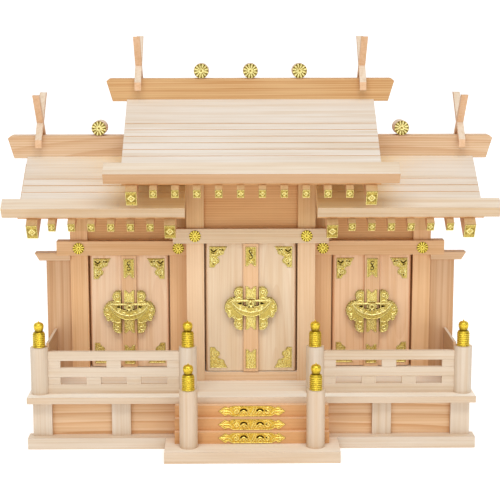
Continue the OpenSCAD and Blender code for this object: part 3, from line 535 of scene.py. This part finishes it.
def distance(u, v, line):
    """Distance of points from a polyline."""
    best = np.full(u.shape, 1e9)
    for (au, av), (bu, bv) in zip(line[:-1], line[1:]):
        du, dv = bu - au, bv - av
        t = clamp(((u - au) * du + (v - av) * dv) / max(du * du + dv * dv, 1e-9))
        best = np.minimum(best, np.hypot(u - au - t * du, v - av - t * dv))
    return best


MARK_GAIN = 1.6


def ridge(u, v, line, half_w):
    """Rounded ridge along a polyline, 0 to 1."""
    return round_top(distance(u, v, line) / half_w)


def pierce(u, v, line, half_w):
    """Painted shade of a pierced mark along a polyline, 0 to 1, flat in its middle."""
    return clamp(MARK_GAIN * ridge(u, v, line, half_w))


def spiral(u0, v0, radius, start, turns, inner=0.15, count=30):
    """Scroll that winds inwards from an angle in degrees."""
    t = np.linspace(0.0, 1.0, count)
    angle = math.radians(start) + turns * 2 * math.pi * t
    r = radius * (1.0 - (1.0 - inner) * t)
    return np.column_stack([u0 + r * np.cos(angle), v0 + r * np.sin(angle)])


def arc(u0, v0, radius, start, end, count=12):
    angle = np.radians(np.linspace(start, end, count))
    return np.column_stack([u0 + radius * np.cos(angle), v0 + radius * np.sin(angle)])


def curve(points, per=6):
    """Smooth (Catmull-Rom) line through points."""
    p = np.array([points[0], *points, points[-1]], dtype=float)
    out = []
    for a, b, c, d in zip(p[:-3], p[1:-2], p[2:-1], p[3:]):
        for t in np.linspace(0.0, 1.0, per, endpoint=False):
            out.append(0.5 * (2 * b + (c - a) * t + (2 * a - 5 * b + 4 * c - d) * t * t
                              + (3 * b - a - 3 * c + d) * t ** 3))
    out.append(p[-2])
    return np.array(out)


PUNCH_H, PUNCH_RATE = 0.45, 3.6


def stipple(u, v):
    """Fine punched ground."""
    return PUNCH_H * (0.5 + 0.5 * np.sin(u * PUNCH_RATE) * np.sin(v * PUNCH_RATE))


def centroid(loop):
    """Middle of the area inside a loop."""
    ahead = np.roll(loop, -1, axis=0)
    cross = loop[:, 0] * ahead[:, 1] - ahead[:, 0] * loop[:, 1]
    return ((loop + ahead) * cross[:, None]).sum(axis=0) / (3 * cross.sum())


def carve(u, v, ridges, marks):
    """Height, and the painted shade of pierced marks, from lists of (line, half width)."""
    height = stipple(u, v)
    dark = np.zeros(u.shape)
    for line, half_w in ridges:
        height = np.maximum(height, ridge(u, v, line, half_w))
    for line, half_w in marks:
        dark = np.maximum(dark, pierce(u, v, line, half_w))
    return height, dark


SOFT_GROUND, SOFT_RELIEF = 0.3, 0.45


def soften(height, dark):
    """Low relief on a raised ground."""
    return SOFT_GROUND + SOFT_RELIEF * height, dark


def corner_relief(u, v, low, high, middle):
    """Scrolls in both lobes of a corner plate; an upper one has pierced marks near its square corner."""
    side_u = 1.0 if middle[0] < (low[0] + high[0]) / 2 else -1.0
    side_v = 1.0 if middle[1] < (low[1] + high[1]) / 2 else -1.0
    x = (u - (low[0] if side_u > 0 else high[0])) * side_u
    y = (v - (low[1] if side_v > 0 else high[1])) * side_v
    ridges = [
        (spiral(13.0, 6.0, 3.4, 200, 1.4), 0.6),
        (spiral(6.4, 16.6, 3.8, 250, -1.4), 0.6),
        (curve([(1.8, 9.6), (5.0, 10.4), (8.6, 9.6), (9.4, 6.8)]), 0.6),
        (curve([(2.6, 12.0), (2.2, 15.4), (2.6, 19.4), (3.4, 22.2)]), 0.5),
        (curve([(10.2, 2.4), (14.0, 2.0), (18.6, 2.2)]), 0.5),
        (curve([(2.2, 2.2), (5.6, 3.4), (9.2, 2.2)]), 0.5),
    ]
    if side_v > 0:
        return soften(*carve(x, y, ridges, []))
    marks = [
        (curve([(1.8, 3.8), (5.2, 6.2), (7.8, 3.9)]), 0.75),
        (np.array([(2.6, 7.2), (5.4, 8.8)]), 0.45),
        (np.array([(12.2, 3.6), (12.5, 3.7)]), 0.7),
        (np.array([(15.0, 4.0), (15.4, 4.2)]), 0.8),
        (np.array([(4.4, 20.6), (4.6, 21.0)]), 0.7),
    ]
    return carve(x, y, ridges, marks)


# From a pierced scroll to the raised line beside it
SCROLL_ASIDE = (0.9, 0.5)


def strip_relief(u, v, low, high, middle):
    """Two opposed scrolls joined by a stem, over a fork; measured from the plate's upper edge."""
    x, _ = centred(u, v, low, high)
    y = v - high[1]
    upper = spiral(0.2, -5.4, 2.2, 40, 0.8, 0.75)
    lower = spiral(-0.2, -11.6, 2.2, 220, 0.8, 0.75)
    stem = curve([(-1.6, -6.6), (0.0, -8.5), (1.6, -10.4)])
    fork = curve([(-3.6, -20.0), (-1.6, -17.6), (0.0, -16.8), (1.6, -17.6), (3.6, -20.0)])
    scrolls = [upper, lower, stem]
    ridges = [(fork, 0.5)] + [(line + SCROLL_ASIDE, 0.45) for line in scrolls]
    return carve(x, y, ridges, [(line, 0.42) for line in scrolls])


WAVE_GAP, WAVE_REACH, WAVE_RATE, WAVE_HALF_L = 2.6, 1.1, 0.9, 14


def plain_relief(u, v, low, high, middle):
    """Wavy lines along a strip plate."""
    x, y = centred(u, v, low, high)
    waves = []
    for across in (-WAVE_GAP, 0.0, WAVE_GAP):
        levels = range(-WAVE_HALF_L, WAVE_HALF_L + 1)
        line = [(across + WAVE_REACH * math.sin(WAVE_RATE * level), level) for level in levels]
        waves.append((np.array(line), 0.55))
    return soften(*carve(x, y, waves, []))


# Half of the butterfly, out from the cover strip and up from the middle
BUTTERFLY = [
    (0.0, -25.0), (3.6, -25.2), (7.0, -24.0), (9.6, -20.6), (10.2, -16.4), (9.6, -12.8), (12.4, -10.2),
    (15.6, -10.8), (17.6, -8.4), (18.4, -5.6), (20.6, -2.2), (20.9, 3.0), (18.8, 7.8), (15.4, 11.4),
    (11.6, 12.4), (8.2, 13.6), (9.2, 16.0), (10.2, 19.0), (8.0, 23.4), (4.2, 25.0), (0.0, 24.6),
]
SCALLOP_W, SCALLOP_H = 3.4, 0.9

# From a bay's middle past its cover strip to the butterfly's straight edge
STRIP_REACH = 9.55


def butterfly_loop(side, bay_u, bay_v):
    """Outline of the left (side -1) or right (side 1) half, anticlockwise."""
    half = curve(BUTTERFLY, 8)
    along = np.concatenate([[0.0], np.cumsum(np.hypot(*np.diff(half, axis=0).T))])
    way = np.gradient(half, axis=0)
    out = np.column_stack([way[:, 1], -way[:, 0]]) / np.hypot(*way.T)[:, None]
    scallop = SCALLOP_H * np.abs(np.sin(math.pi * along / SCALLOP_W))
    half = half + out * (scallop - SCALLOP_H / 2)[:, None]
    half[[0, -1], 0] = 0.0
    loop = np.column_stack([bay_u + side * (STRIP_REACH + half[:, 0]), bay_v + half[:, 1]])
    return loop if side > 0 else loop[::-1]


def wing_relief(x, y):
    """Scrolls on half of the butterfly, and a pierced leaf behind the lock."""
    ridges = [
        (spiral(4.4, 19.2, 3.4, 300, 1.3), 0.6),
        (spiral(4.6, -18.8, 3.6, 60, -1.3), 0.6),
        (spiral(17.0, 3.4, 2.3, 180, 1.3), 0.5),
        (spiral(15.2, -6.2, 2.3, 120, -1.3), 0.5),
        (curve([(1.6, 12.2), (4.8, 13.2), (8.6, 11.4), (12.6, 9.6), (15.4, 7.4)]), 0.55),
        (curve([(1.6, -12.0), (5.2, -12.8), (8.4, -10.8), (11.6, -8.2)]), 0.55),
        (curve([(18.4, -1.2), (16.8, -2.6), (13.4, -2.2)]), 0.5),
        (curve([(1.4, -23.0), (5.0, -23.0), (7.8, -20.6)]), 0.45),
    ]
    leaf = curve([(2.6, 6.4), (6.2, 5.2), (9.4, 3.4)])
    return carve(x, y, ridges, [(leaf, 1.3)])


def lock_relief(u, v, low, high, middle):
    """Lines along the crescent, and a small flower on its middle block; measured from the upper edge."""
    x, _ = centred(u, v, low, high)
    y = v - high[1]
    across = np.abs(x)
    ridges = [
        (curve([(22.6, -2.4), (17.0, -9.0), (10.0, -13.2), (0.0, -15.4)]), 0.8),
        (spiral(12.4, -10.0, 2.2, 30, 1.2), 0.6),
        (spiral(6.4, -13.2, 2.0, 30, 1.2), 0.6),
        (arc(0.0, -5.4, 2.6, 0, 180), 0.6),
        (arc(0.0, -5.4, 2.6, 180, 360), 0.6),
        (arc(0.0, -10.6, 2.0, 0, 180), 0.5),
    ]
    marks = [(np.array([(1.6, -8.4), (2.6, -9.4)]), 0.5), (np.array([(0.0, -5.4), (0.2, -5.4)]), 0.8)]
    return carve(across, y, ridges, marks)


def stair_relief(u, v, low, high, middle):
    """Leaf scrolls on both sides of a middle stem, two pierced arches, and pointed leaves at the ends."""
    x, y = centred(u, v, low, high)
    across = np.abs(x)
    ridges = [
        (curve([(4.6, -3.8), (6.2, -1.0), (9.2, 0.4), (12.2, -1.0), (13.8, -3.8)]), 0.55),
        (curve([(7.0, -4.0), (9.2, -1.8), (11.4, -4.0)]), 0.5),
        (spiral(17.8, -0.6, 3.0, 100, 1.4), 0.6),
        (curve([(13.2, 4.2), (16.2, 4.4), (19.6, 3.4), (22.0, 0.8)]), 0.5),
        (curve([(1.0, -4.2), (3.2, -1.4), (4.2, 2.0), (5.4, 4.2)]), 0.5),
        (curve([(22.4, -3.0), (24.4, -0.8), (27.4, 0.0), (35.4, 0.0)]), 0.6),
        (curve([(25.6, 2.6), (29.2, 3.0), (32.4, 1.2)]), 0.55),
        (curve([(25.6, -2.6), (29.2, -3.0), (32.4, -1.2)]), 0.55),
    ]
    height, dark = carve(across, y, ridges, [(arc(9.2, -1.6, 3.9, 30, 150), 0.95)])
    stem = curve([(-1.0, -4.2), (0.6, -1.0), (2.6, 3.8)])
    height = np.maximum(height, ridge(x, y, stem, 0.6))
    dot = np.array([(16.0, 0.4), (16.4, 0.2)])
    dark = np.maximum(dark, pierce(x, y, dot, 0.8))
    return height, dark


# Chrysanthemum: lengths in shares of its radius
PETALS, PETAL_TAPER, PETAL_EDGE = 12, 0.5, 0.3
BOSS_R, BOSS_STEEP = 0.42, 8
DIMPLE_R, DIMPLE_STEEP = 0.17, 10
# FLOWER_DARK and DIMPLE_DARK paint shade in the hollows between the petals and in the boss's dimple
FLOWER_H, FLOWER_DARK, DIMPLE_DARK = 0.85, 0.42, 0.3


def flower_relief(u, v, low, high, middle):
    """Chrysanthemum of twelve petals around a dimpled boss."""
    x, y = centred(u, v, low, high)
    reach = (high[0] - low[0]) / 2
    r = np.hypot(x, y) / reach
    angle = np.arctan2(y, x)
    petal = clamp((np.abs(np.sin(PETALS / 2 * angle)) - PETAL_TAPER * r) / PETAL_EDGE)
    raised = np.maximum(petal, clamp((BOSS_R - r) * BOSS_STEEP))
    dimple = clamp((DIMPLE_R - r) * DIMPLE_STEEP)
    return FLOWER_H * (raised * (1.0 - dimple)), FLOWER_DARK * (1.0 - raised) + DIMPLE_DARK * dimple


# Rafter cap: lengths in shares of its half width
LOZENGE_R, LOZENGE_W, LOZENGE_SQUASH = 0.56, 0.17, 0.85
KNOB_R, KNOB_H = 0.26, 0.8
# FIELD_DARK paints shade on the ground in the corners inside the rim
FIELD_FROM, FIELD_STEEP, FIELD_TO, FIELD_DARK = 0.8, 8, 0.78, 0.3


def cap_relief(u, v, low, high, middle):
    """A raised lozenge around a knob on a rafter's end, with painted shade in the corners inside the rim."""
    half = (high[0] - low[0]) / 2
    x, y = (place / half for place in centred(u, v, low, high))
    lozenge = np.abs(x) + np.abs(y) * LOZENGE_SQUASH
    line = round_top((lozenge - LOZENGE_R) / LOZENGE_W)
    knob = KNOB_H * round_top(lozenge / KNOB_R)
    inside = np.maximum(np.abs(x), np.abs(y)) < FIELD_TO
    dark = FIELD_DARK * clamp((lozenge - FIELD_FROM) * FIELD_STEEP) * inside
    return np.maximum(np.maximum(line, knob), stipple(u, v)), dark


class Piece:
    """Mesh in the making: points in mm with a relief value each, and faces."""

    def __init__(self):
        self.points = []
        self.values = []
        self.faces = []

    def add(self, points, values, faces):
        first = len(self.points)
        self.points.extend(points)
        self.values.extend(values)
        self.faces.extend([tuple(first + i for i in face) for face in faces])

    def finish(self, name, body, replaced, material):
        mesh = bpy.data.meshes.new(name)
        mesh.from_pydata([tuple(c * MM for c in p) for p in self.points], [], self.faces)
        mesh.attributes.new("relief", "FLOAT", "POINT").data.foreach_set("value", self.values)
        mesh.polygons.foreach_set("use_smooth", [True] * len(mesh.polygons))
        mesh.set_sharp_from_angle(angle=SHARP_EDGE)
        mesh.materials.append(material)
        piece = bpy.data.objects.new(name, mesh)
        bpy.context.collection.objects.link(piece)
        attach(piece, body)
        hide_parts(replaced)


def resample(loop, cell):
    """A closed loop cut into steps of about one cell."""
    out = []
    for a, b in zip(loop, np.roll(loop, -1, axis=0)):
        count = max(1, round(float(np.hypot(*(b - a))) / cell))
        for i in range(count):
            out.append(a + (b - a) * i / count)
    return np.array(out)


# Grid rows and the free band along a border, in cells; settings of the triangulation
ROW_GAP, BORDER_GAP = 0.87, 0.5
INSIDE_ONLY, MERGE = 1, 1e-6


def lattice(low, high, cell):
    """Points of a triangular grid over a box."""
    rows = np.arange(low[1], high[1], cell * ROW_GAP)
    columns = np.arange(low[0], high[0], cell)
    u, v = np.meshgrid(columns, rows)
    u = u + (np.arange(len(rows)) % 2 * cell / 2)[:, None]
    return u.ravel(), v.ravel()


def emboss(piece, loop, depth, plane, thickness, relief, cell=CELL):
    """Adds one plate: a front with relief inside a rim, and walls down to what it lies on."""
    right, up = plane
    normal = right.cross(up)
    low, high = loop.min(axis=0), loop.max(axis=0)
    outline = resample(loop, cell)
    closed = np.vstack([outline, outline[:1]])
    grid_u, grid_v = lattice(low, high, cell)
    keep = distance(grid_u, grid_v, closed) > BORDER_GAP * cell
    inside = [Vector(p) for p in np.column_stack([grid_u[keep], grid_v[keep]])]
    border = [Vector(p) for p in outline]
    rim_ids = list(range(len(border)))
    flat, _, faces, _, _, _ = delaunay_2d_cdt(border + inside, [], [rim_ids], INSIDE_ONLY, MERGE)
    u = np.array([p[0] for p in flat])
    v = np.array([p[1] for p in flat])
    edge = distance(u, v, closed)
    height, dark = relief(u, v, low, high, centroid(loop))
    if relief is not flower_relief:
        field = clamp((edge - RIM_W) / RIM_FADE)
        rim = round_top((edge - RIM_CREST) / RIM_CREST)
        height = np.maximum(height * field, RIM_HEIGHT * rim)
    height = height * (1.0 - dark)
    # Painted shade along the groove and along the plate's edge, and painted highlight rising with height
    groove = clamp(1.0 - np.abs(edge - GROOVE_AT) / GROOVE_W)
    edge_shade = np.clip(edge / EDGE_SHADE_W, EDGE_SHADE, 1.0)
    value = clamp(GROUND_TONE + HEIGHT_HIGHLIGHT * height - GROOVE_SHADE * groove) * (1.0 - dark) * edge_shade
    lift = depth + GROUND + (TOP - GROUND) * height - PIERCED * dark
    points = [right * float(a) + up * float(b) + normal * float(c) for a, b, c in zip(u, v, lift)]
    piece.add(points, value.tolist(), faces)

    # Painted shade on the plate's walls, darkest at the foot
    wall = [WALL_SHADE, FOOT_SHADE, FOOT_SHADE, WALL_SHADE]
    for a, b in open_edges(faces):
        foot_a = right * float(u[a]) + up * float(v[a]) + normal * (depth - thickness)
        foot_b = right * float(u[b]) + up * float(v[b]) + normal * (depth - thickness)
        piece.add([points[a], foot_a, foot_b, points[b]], wall, [(0, 1, 2, 3)])


def tube_faces(rows, sides):
    """Faces between rings of points that follow each other."""
    faces = []
    for row in range(0, (rows - 1) * sides, sides):
        for j in range(sides):
            k = (j + 1) % sides
            faces.append((row + j, row + k, row + sides + k, row + sides + j))
    return faces


ROD_SIDES = 14
ROD_CHAMFER = Vector((0.5, 0, 0))
ROD_END = 0.8


def add_rod(piece, start, end, radius):
    """Round rod along X between two points, with chamfered ends."""
    angles = np.linspace(0, 2 * math.pi, ROD_SIDES, endpoint=False)
    stations = [(start, 0.0), (start, ROD_END), (start + ROD_CHAMFER, 1.0), (end - ROD_CHAMFER, 1.0),
                (end, ROD_END), (end, 0.0)]
    points = []
    for place, scale in stations:
        points.extend(place + radius * scale * Vector((0, math.cos(t), math.sin(t))) for t in angles)
    piece.add(points, [ROD_TONE] * len(points), tube_faces(len(stations), ROD_SIDES))


def bay_middle(bay):
    """Place across, in metres, of the middle of a bay's cover strip."""
    strip_low, strip_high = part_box(bay + "_door_strip")
    return (strip_low[0] + strip_high[0]) / 2


def emboss_node(name, body, plane, relief, material, cell=CELL):
    piece = Piece()
    for loop, depth in flat_faces(name, *plane):
        emboss(piece, loop, depth, plane, PLATE_T, relief, cell)
    piece.finish(name + "_embossed", body, name, material)


# A plate this wide is the lock, one this near the bay's middle line lies on the cover strip, and one this
# far above or below the middle is a corner plate or, on the strip, an end plate
LOCK_MIN_W = 40.0
STRIP_MAX_U = 1.0
END_MIN_V = 30.0
ROD_SHARE = 0.46


def emboss_fittings(name, body, bay_u):
    """Door fittings: corner plates, half of the butterfly, strip plates and the lock."""
    piece = Piece()
    faces = flat_faces(name, *FRONT)
    every = np.vstack([loop for loop, _ in faces])
    bay_v = (every[:, 1].min() + every[:, 1].max()) / 2

    def butterfly(u, v, low, high, middle):
        return wing_relief(np.abs(u - bay_u) - STRIP_REACH, v - bay_v)

    for loop, depth in faces:
        width = np.ptp(loop[:, 0])
        centre = (loop.max(axis=0) + loop.min(axis=0)) / 2
        thickness = PLATE_T
        if width > LOCK_MIN_W:
            thickness = LOCK_T
            relief = lock_relief
            rod_v = loop[:, 1].max() - LOCK_ROD_D / 2
            reach = ROD_SHARE * width
            rod_y = -(depth - LOCK_T / 2)
            rod_ends = [Vector((bay_u + end, rod_y, rod_v)) for end in (-reach, reach)]
            add_rod(piece, *rod_ends, LOCK_ROD_D / 2)
        elif abs(centre[0] - bay_u) < STRIP_MAX_U:
            relief = strip_relief if centre[1] > bay_v + END_MIN_V else plain_relief
        elif abs(centre[1] - bay_v) > END_MIN_V:
            relief = corner_relief
        else:
            relief = butterfly
            loop = butterfly_loop(np.sign(centre[0] - bay_u), bay_u, bay_v)
        emboss(piece, loop, depth, FRONT, thickness, relief)
    piece.finish(name + "_embossed", body, name, lemon_gilt)


def solids(name):
    """Points in mm of each separate solid of a CAD node."""
    mesh = nodes[name].data
    keys = [tuple(round(c / MM, 2) for c in vertex.co) for vertex in mesh.vertices]
    parent = {key: key for key in keys}

    def root(key):
        while parent[key] != key:
            parent[key] = parent[parent[key]]
            key = parent[key]
        return key

    for polygon in mesh.polygons:
        first = root(keys[polygon.vertices[0]])
        for index in polygon.vertices[1:]:
            parent[root(keys[index])] = first
    groups = {}
    for key in parent:
        groups.setdefault(root(key), []).append(key)
    return [np.array(group) for group in groups.values()]


# Post cap: radii and heights up from its foot
FINIAL_SIDES = 36
FOOT_R, FOOT_H, FOOT_CHAMFER, FOOT_ROUND = 7.3, 1.6, 0.3, 0.4
SLEEVE_R, SLEEVE_TOP = 7.2, 15.4
BEADS, BEAD_H, BEAD_STEPS = 6, 0.5, 8
SHOULDER_TOP, NECK_R = 18.0, 4.3
BUD_R, BUD_MIDDLE, BUD_TOP, BUD_ROUND = 5.7, 24.0, 28.7, 2.5
POINT_R, POINT_FOOT = 0.9, 0.2

# Relief values up a post cap: painted shade in the creases and between the beads, painted highlight on the
# foot's crest, the beads and the bud
CREASE, HALF_TONE, FOOT_CREST, BUD_TONE, POINT_TONE = 0.2, 0.5, 0.8, 0.55, 0.6
BEAD_LOW, BEAD_GAIN = 0.25, 0.36
BUD_GAIN = 0.35


def finial_profile(height):
    """Radius, height and relief up a post cap: a beaded sleeve, a shoulder, and a bud with a small point."""
    profile = [
        (0.0, 0.0, CREASE),
        (FOOT_R - FOOT_CHAMFER, 0.0, CREASE),
        (FOOT_R, FOOT_ROUND, HALF_TONE),
        (FOOT_R, FOOT_H - FOOT_ROUND, FOOT_CREST),
        (FOOT_R - FOOT_ROUND, FOOT_H, HALF_TONE),
    ]
    for t in np.linspace(0.0, 1.0, BEAD_STEPS * BEADS + 1):
        crest = abs(math.sin(math.pi * BEADS * t))
        level = FOOT_H + t * (SLEEVE_TOP - FOOT_H)
        profile.append((SLEEVE_R + BEAD_H * (crest - 1), level, BEAD_LOW + BEAD_GAIN * crest))
    for t in np.linspace(0.1, 1.0, 8):
        a = t * math.pi / 2
        level = SLEEVE_TOP + (SHOULDER_TOP - SLEEVE_TOP) * math.sin(a)
        radius = NECK_R + (SLEEVE_R - BEAD_H - NECK_R) * math.cos(a)
        profile.append((radius, level, BUD_TONE - BUD_GAIN * t))
    for t in np.linspace(0.06, 1.0, 10):
        level = SHOULDER_TOP + (BUD_MIDDLE - SHOULDER_TOP) * t
        radius = NECK_R + (BUD_R - NECK_R) * math.sin(t * math.pi / 2)
        profile.append((radius, level, CREASE + BUD_GAIN * t))
    for t in np.linspace(0.1, 0.98, 12):
        level = BUD_MIDDLE + (BUD_TOP - BUD_MIDDLE) * t
        profile.append((BUD_R * (1 - t ** BUD_ROUND) ** (1 / BUD_ROUND), level, BUD_TONE))
    profile.append((POINT_R, BUD_TOP + POINT_FOOT, POINT_TONE))
    profile.append((0.0, height, HALF_TONE))
    return profile


def turn_finials():
    """Post caps turned in one piece each."""
    piece = Piece()
    angles = np.linspace(0.0, 2 * math.pi, FINIAL_SIDES, endpoint=False)
    for points in solids("post_finials"):
        low, high = points.min(axis=0), points.max(axis=0)
        axis = Vector(((low[0] + high[0]) / 2, (low[1] + high[1]) / 2, low[2]))
        profile = finial_profile(high[2] - low[2])
        places = [axis + Vector((r * math.cos(a), r * math.sin(a), z))
                  for r, z, _ in profile for a in angles]
        values = [value for _, _, value in profile for _ in angles]
        piece.add(places, values, tube_faces(len(profile), FINIAL_SIDES))
    piece.finish("post_finials_turned", "shrine", "post_finials", bright_gilt)


# The stair plates low down get the gilt with a painted warm reflection; the rosettes under the eaves, like
# the post caps, the gilt painted brighter
emboss_node("stair_plates", "shrine", FRONT, stair_relief, warm_reflected_gilt)
emboss_node("beam_rosettes", "shrine", FRONT, flower_relief, bright_gilt, FINE_CELL)
emboss_node("ridge_log_caps", "shrine", FRONT, flower_relief, lemon_gilt, FINE_CELL)
emboss_node("rafter_caps", "shrine", CAP, cap_relief, lemon_gilt, FINE_CELL)
turn_finials()
for bay in BAYS:
    for side in ("left", "right"):
        emboss_fittings(f"{bay}_door_{side}_fittings", f"{bay}_{side}_leaf", bay_middle(bay) / MM)


# Stage, light and camera: lengths in metres, powers in watts

SWEEP_HALF_W, SWEEP_FRONT, SWEEP_BACK, SWEEP_TOP = 8.0, -6.0, 3.5, 6.0
SWEEP_BEND, BEND_STEPS = 1.5, 12
SWEEP_COLOUR, SWEEP_GLOW = (0.9, 0.9, 0.9, 1.0), 0.42


def make_sweep():
    """Floor that bends up into a backdrop."""
    profile = [(SWEEP_FRONT, 0.0)]
    for i in range(BEND_STEPS + 1):
        t = math.radians(90 * i / BEND_STEPS)
        y = SWEEP_BACK - SWEEP_BEND + SWEEP_BEND * math.sin(t)
        profile.append((y, SWEEP_BEND - SWEEP_BEND * math.cos(t)))
    profile.append((SWEEP_BACK, SWEEP_TOP))
    points = [(x, y, z) for y, z in profile for x in (-SWEEP_HALF_W, SWEEP_HALF_W)]
    faces = [(2 * i, 2 * i + 1, 2 * i + 3, 2 * i + 2) for i in range(len(profile) - 1)]
    mesh = bpy.data.meshes.new("studio_sweep")
    mesh.from_pydata(points, [], faces)
    mesh.polygons.foreach_set("use_smooth", [True] * len(faces))
    sweep = bpy.data.objects.new("studio_sweep", mesh)
    bpy.context.collection.objects.link(sweep)
    material, _, shader = new_material("studio sweep")
    shader.inputs["Base Color"].default_value = SWEEP_COLOUR
    shader.inputs["Roughness"].default_value = 1.0
    shader.inputs["Specular IOR Level"].default_value = 0.0
    shader.inputs["Emission Color"].default_value = (*WHITE, 1.0)
    shader.inputs["Emission Strength"].default_value = SWEEP_GLOW
    mesh.materials.append(material)


LIGHT_TARGET = (0.0, 0.0, 0.2)
KEY_PLACE, KEY_SIZE, KEY_POWER = (0.0, -1.5, 2.0), (2.0, 0.6), 23.0
FILL_X, FILL_Y, FILL_Z = 1.2, -2.2, 0.7
FILL_SIZE, FILL_POWER = (1.2, 1.2), 4.0
BAY_LAMP_GAP, BAY_LAMP_SIZE, BAY_LAMP_POWER = 0.012, (0.06, 0.12), 0.01


def add_area(name, place, target, size, power):
    """White area light that looks at a target."""
    light = bpy.data.lights.new(name, "AREA")
    light.shape = "RECTANGLE"
    light.size, light.size_y = size
    light.energy = power
    lamp = bpy.data.objects.new(name, light)
    lamp.location = place
    lamp.rotation_euler = (Vector(target) - Vector(place)).to_track_quat("-Z", "Y").to_euler()
    bpy.context.collection.objects.link(lamp)
    return lamp


def light_bays():
    """Weak light on the walls behind the doors, seen as brown lines in the gaps around the leaves."""
    for bay in BAYS:
        low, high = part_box(bay + "_door_left")
        across = bay_middle(bay)
        middle = (low[2] + high[2]) / 2
        inside = high[1] + BAY_LAMP_GAP
        target = (across, inside + 1.0, middle)
        lamp = add_area("bay", (across, inside, middle), target, BAY_LAMP_SIZE, BAY_LAMP_POWER)
        lamp.visible_camera = False


SKY_SPAN, SKY_STRENGTH = (-0.2, 0.9), 0.72
SKY_STOPS = [(0.1, (0.88, 0.88, 0.88)), (1.0, (0.95, 0.95, 0.96))]
SIDE_STOPS = [(0.45, WHITE), (0.85, (0.42, 0.42, 0.42))]


def make_world():
    """White surroundings with darker sides."""
    world = bpy.data.worlds.new("studio")
    world.use_nodes = True
    tree = world.node_tree
    background = tree.nodes["Background"]
    way = separate(tree, tree.nodes.new("ShaderNodeTexCoord").outputs["Generated"])
    sky = ramp(tree, map_range(tree, way["Z"], *SKY_SPAN), SKY_STOPS)
    light = tint(tree, 1.0, sky, absolute(tree, way["X"]), SIDE_STOPS)
    tree.links.new(light, background.inputs["Color"])
    background.inputs["Strength"].default_value = SKY_STRENGTH
    bpy.context.scene.world = world


# Camera fitted to the photo, with its turns in degrees
CAMERA_PLACE = (-0.018, -1.573, 0.480)
CAMERA_PITCH = 9.5
CAMERA_YAW = -0.62
CAMERA_ROLL = -0.06
FOCAL_PX = 1370.0
IMAGE_PX = 500.0
SENSOR_MM = 36.0
FAR_CLIP = 50.0


def make_camera():
    """The photo's camera, which is tilted down and rolled a little."""
    data = bpy.data.cameras.new("camera")
    data.sensor_width = SENSOR_MM
    data.lens = SENSOR_MM * FOCAL_PX / IMAGE_PX
    data.clip_end = FAR_CLIP
    camera = bpy.data.objects.new("camera", data)
    camera.location = CAMERA_PLACE
    turn = Euler((math.radians(90.0 - CAMERA_PITCH), 0.0, math.radians(CAMERA_YAW)), "XYZ").to_quaternion()
    roll = Euler((0.0, 0.0, math.radians(CAMERA_ROLL))).to_quaternion()
    camera.rotation_mode = "QUATERNION"
    camera.rotation_quaternion = turn @ roll
    bpy.context.collection.objects.link(camera)
    bpy.context.scene.camera = camera


make_sweep()
make_world()
add_area("key", KEY_PLACE, LIGHT_TARGET, KEY_SIZE, KEY_POWER)
for fill_x in (-FILL_X, FILL_X):
    add_area("fill", (fill_x, FILL_Y, FILL_Z), LIGHT_TARGET, FILL_SIZE, FILL_POWER)
light_bays()
make_camera()

scene = bpy.context.scene
scene.view_settings.view_transform = "Standard"
scene.view_settings.look = "None"
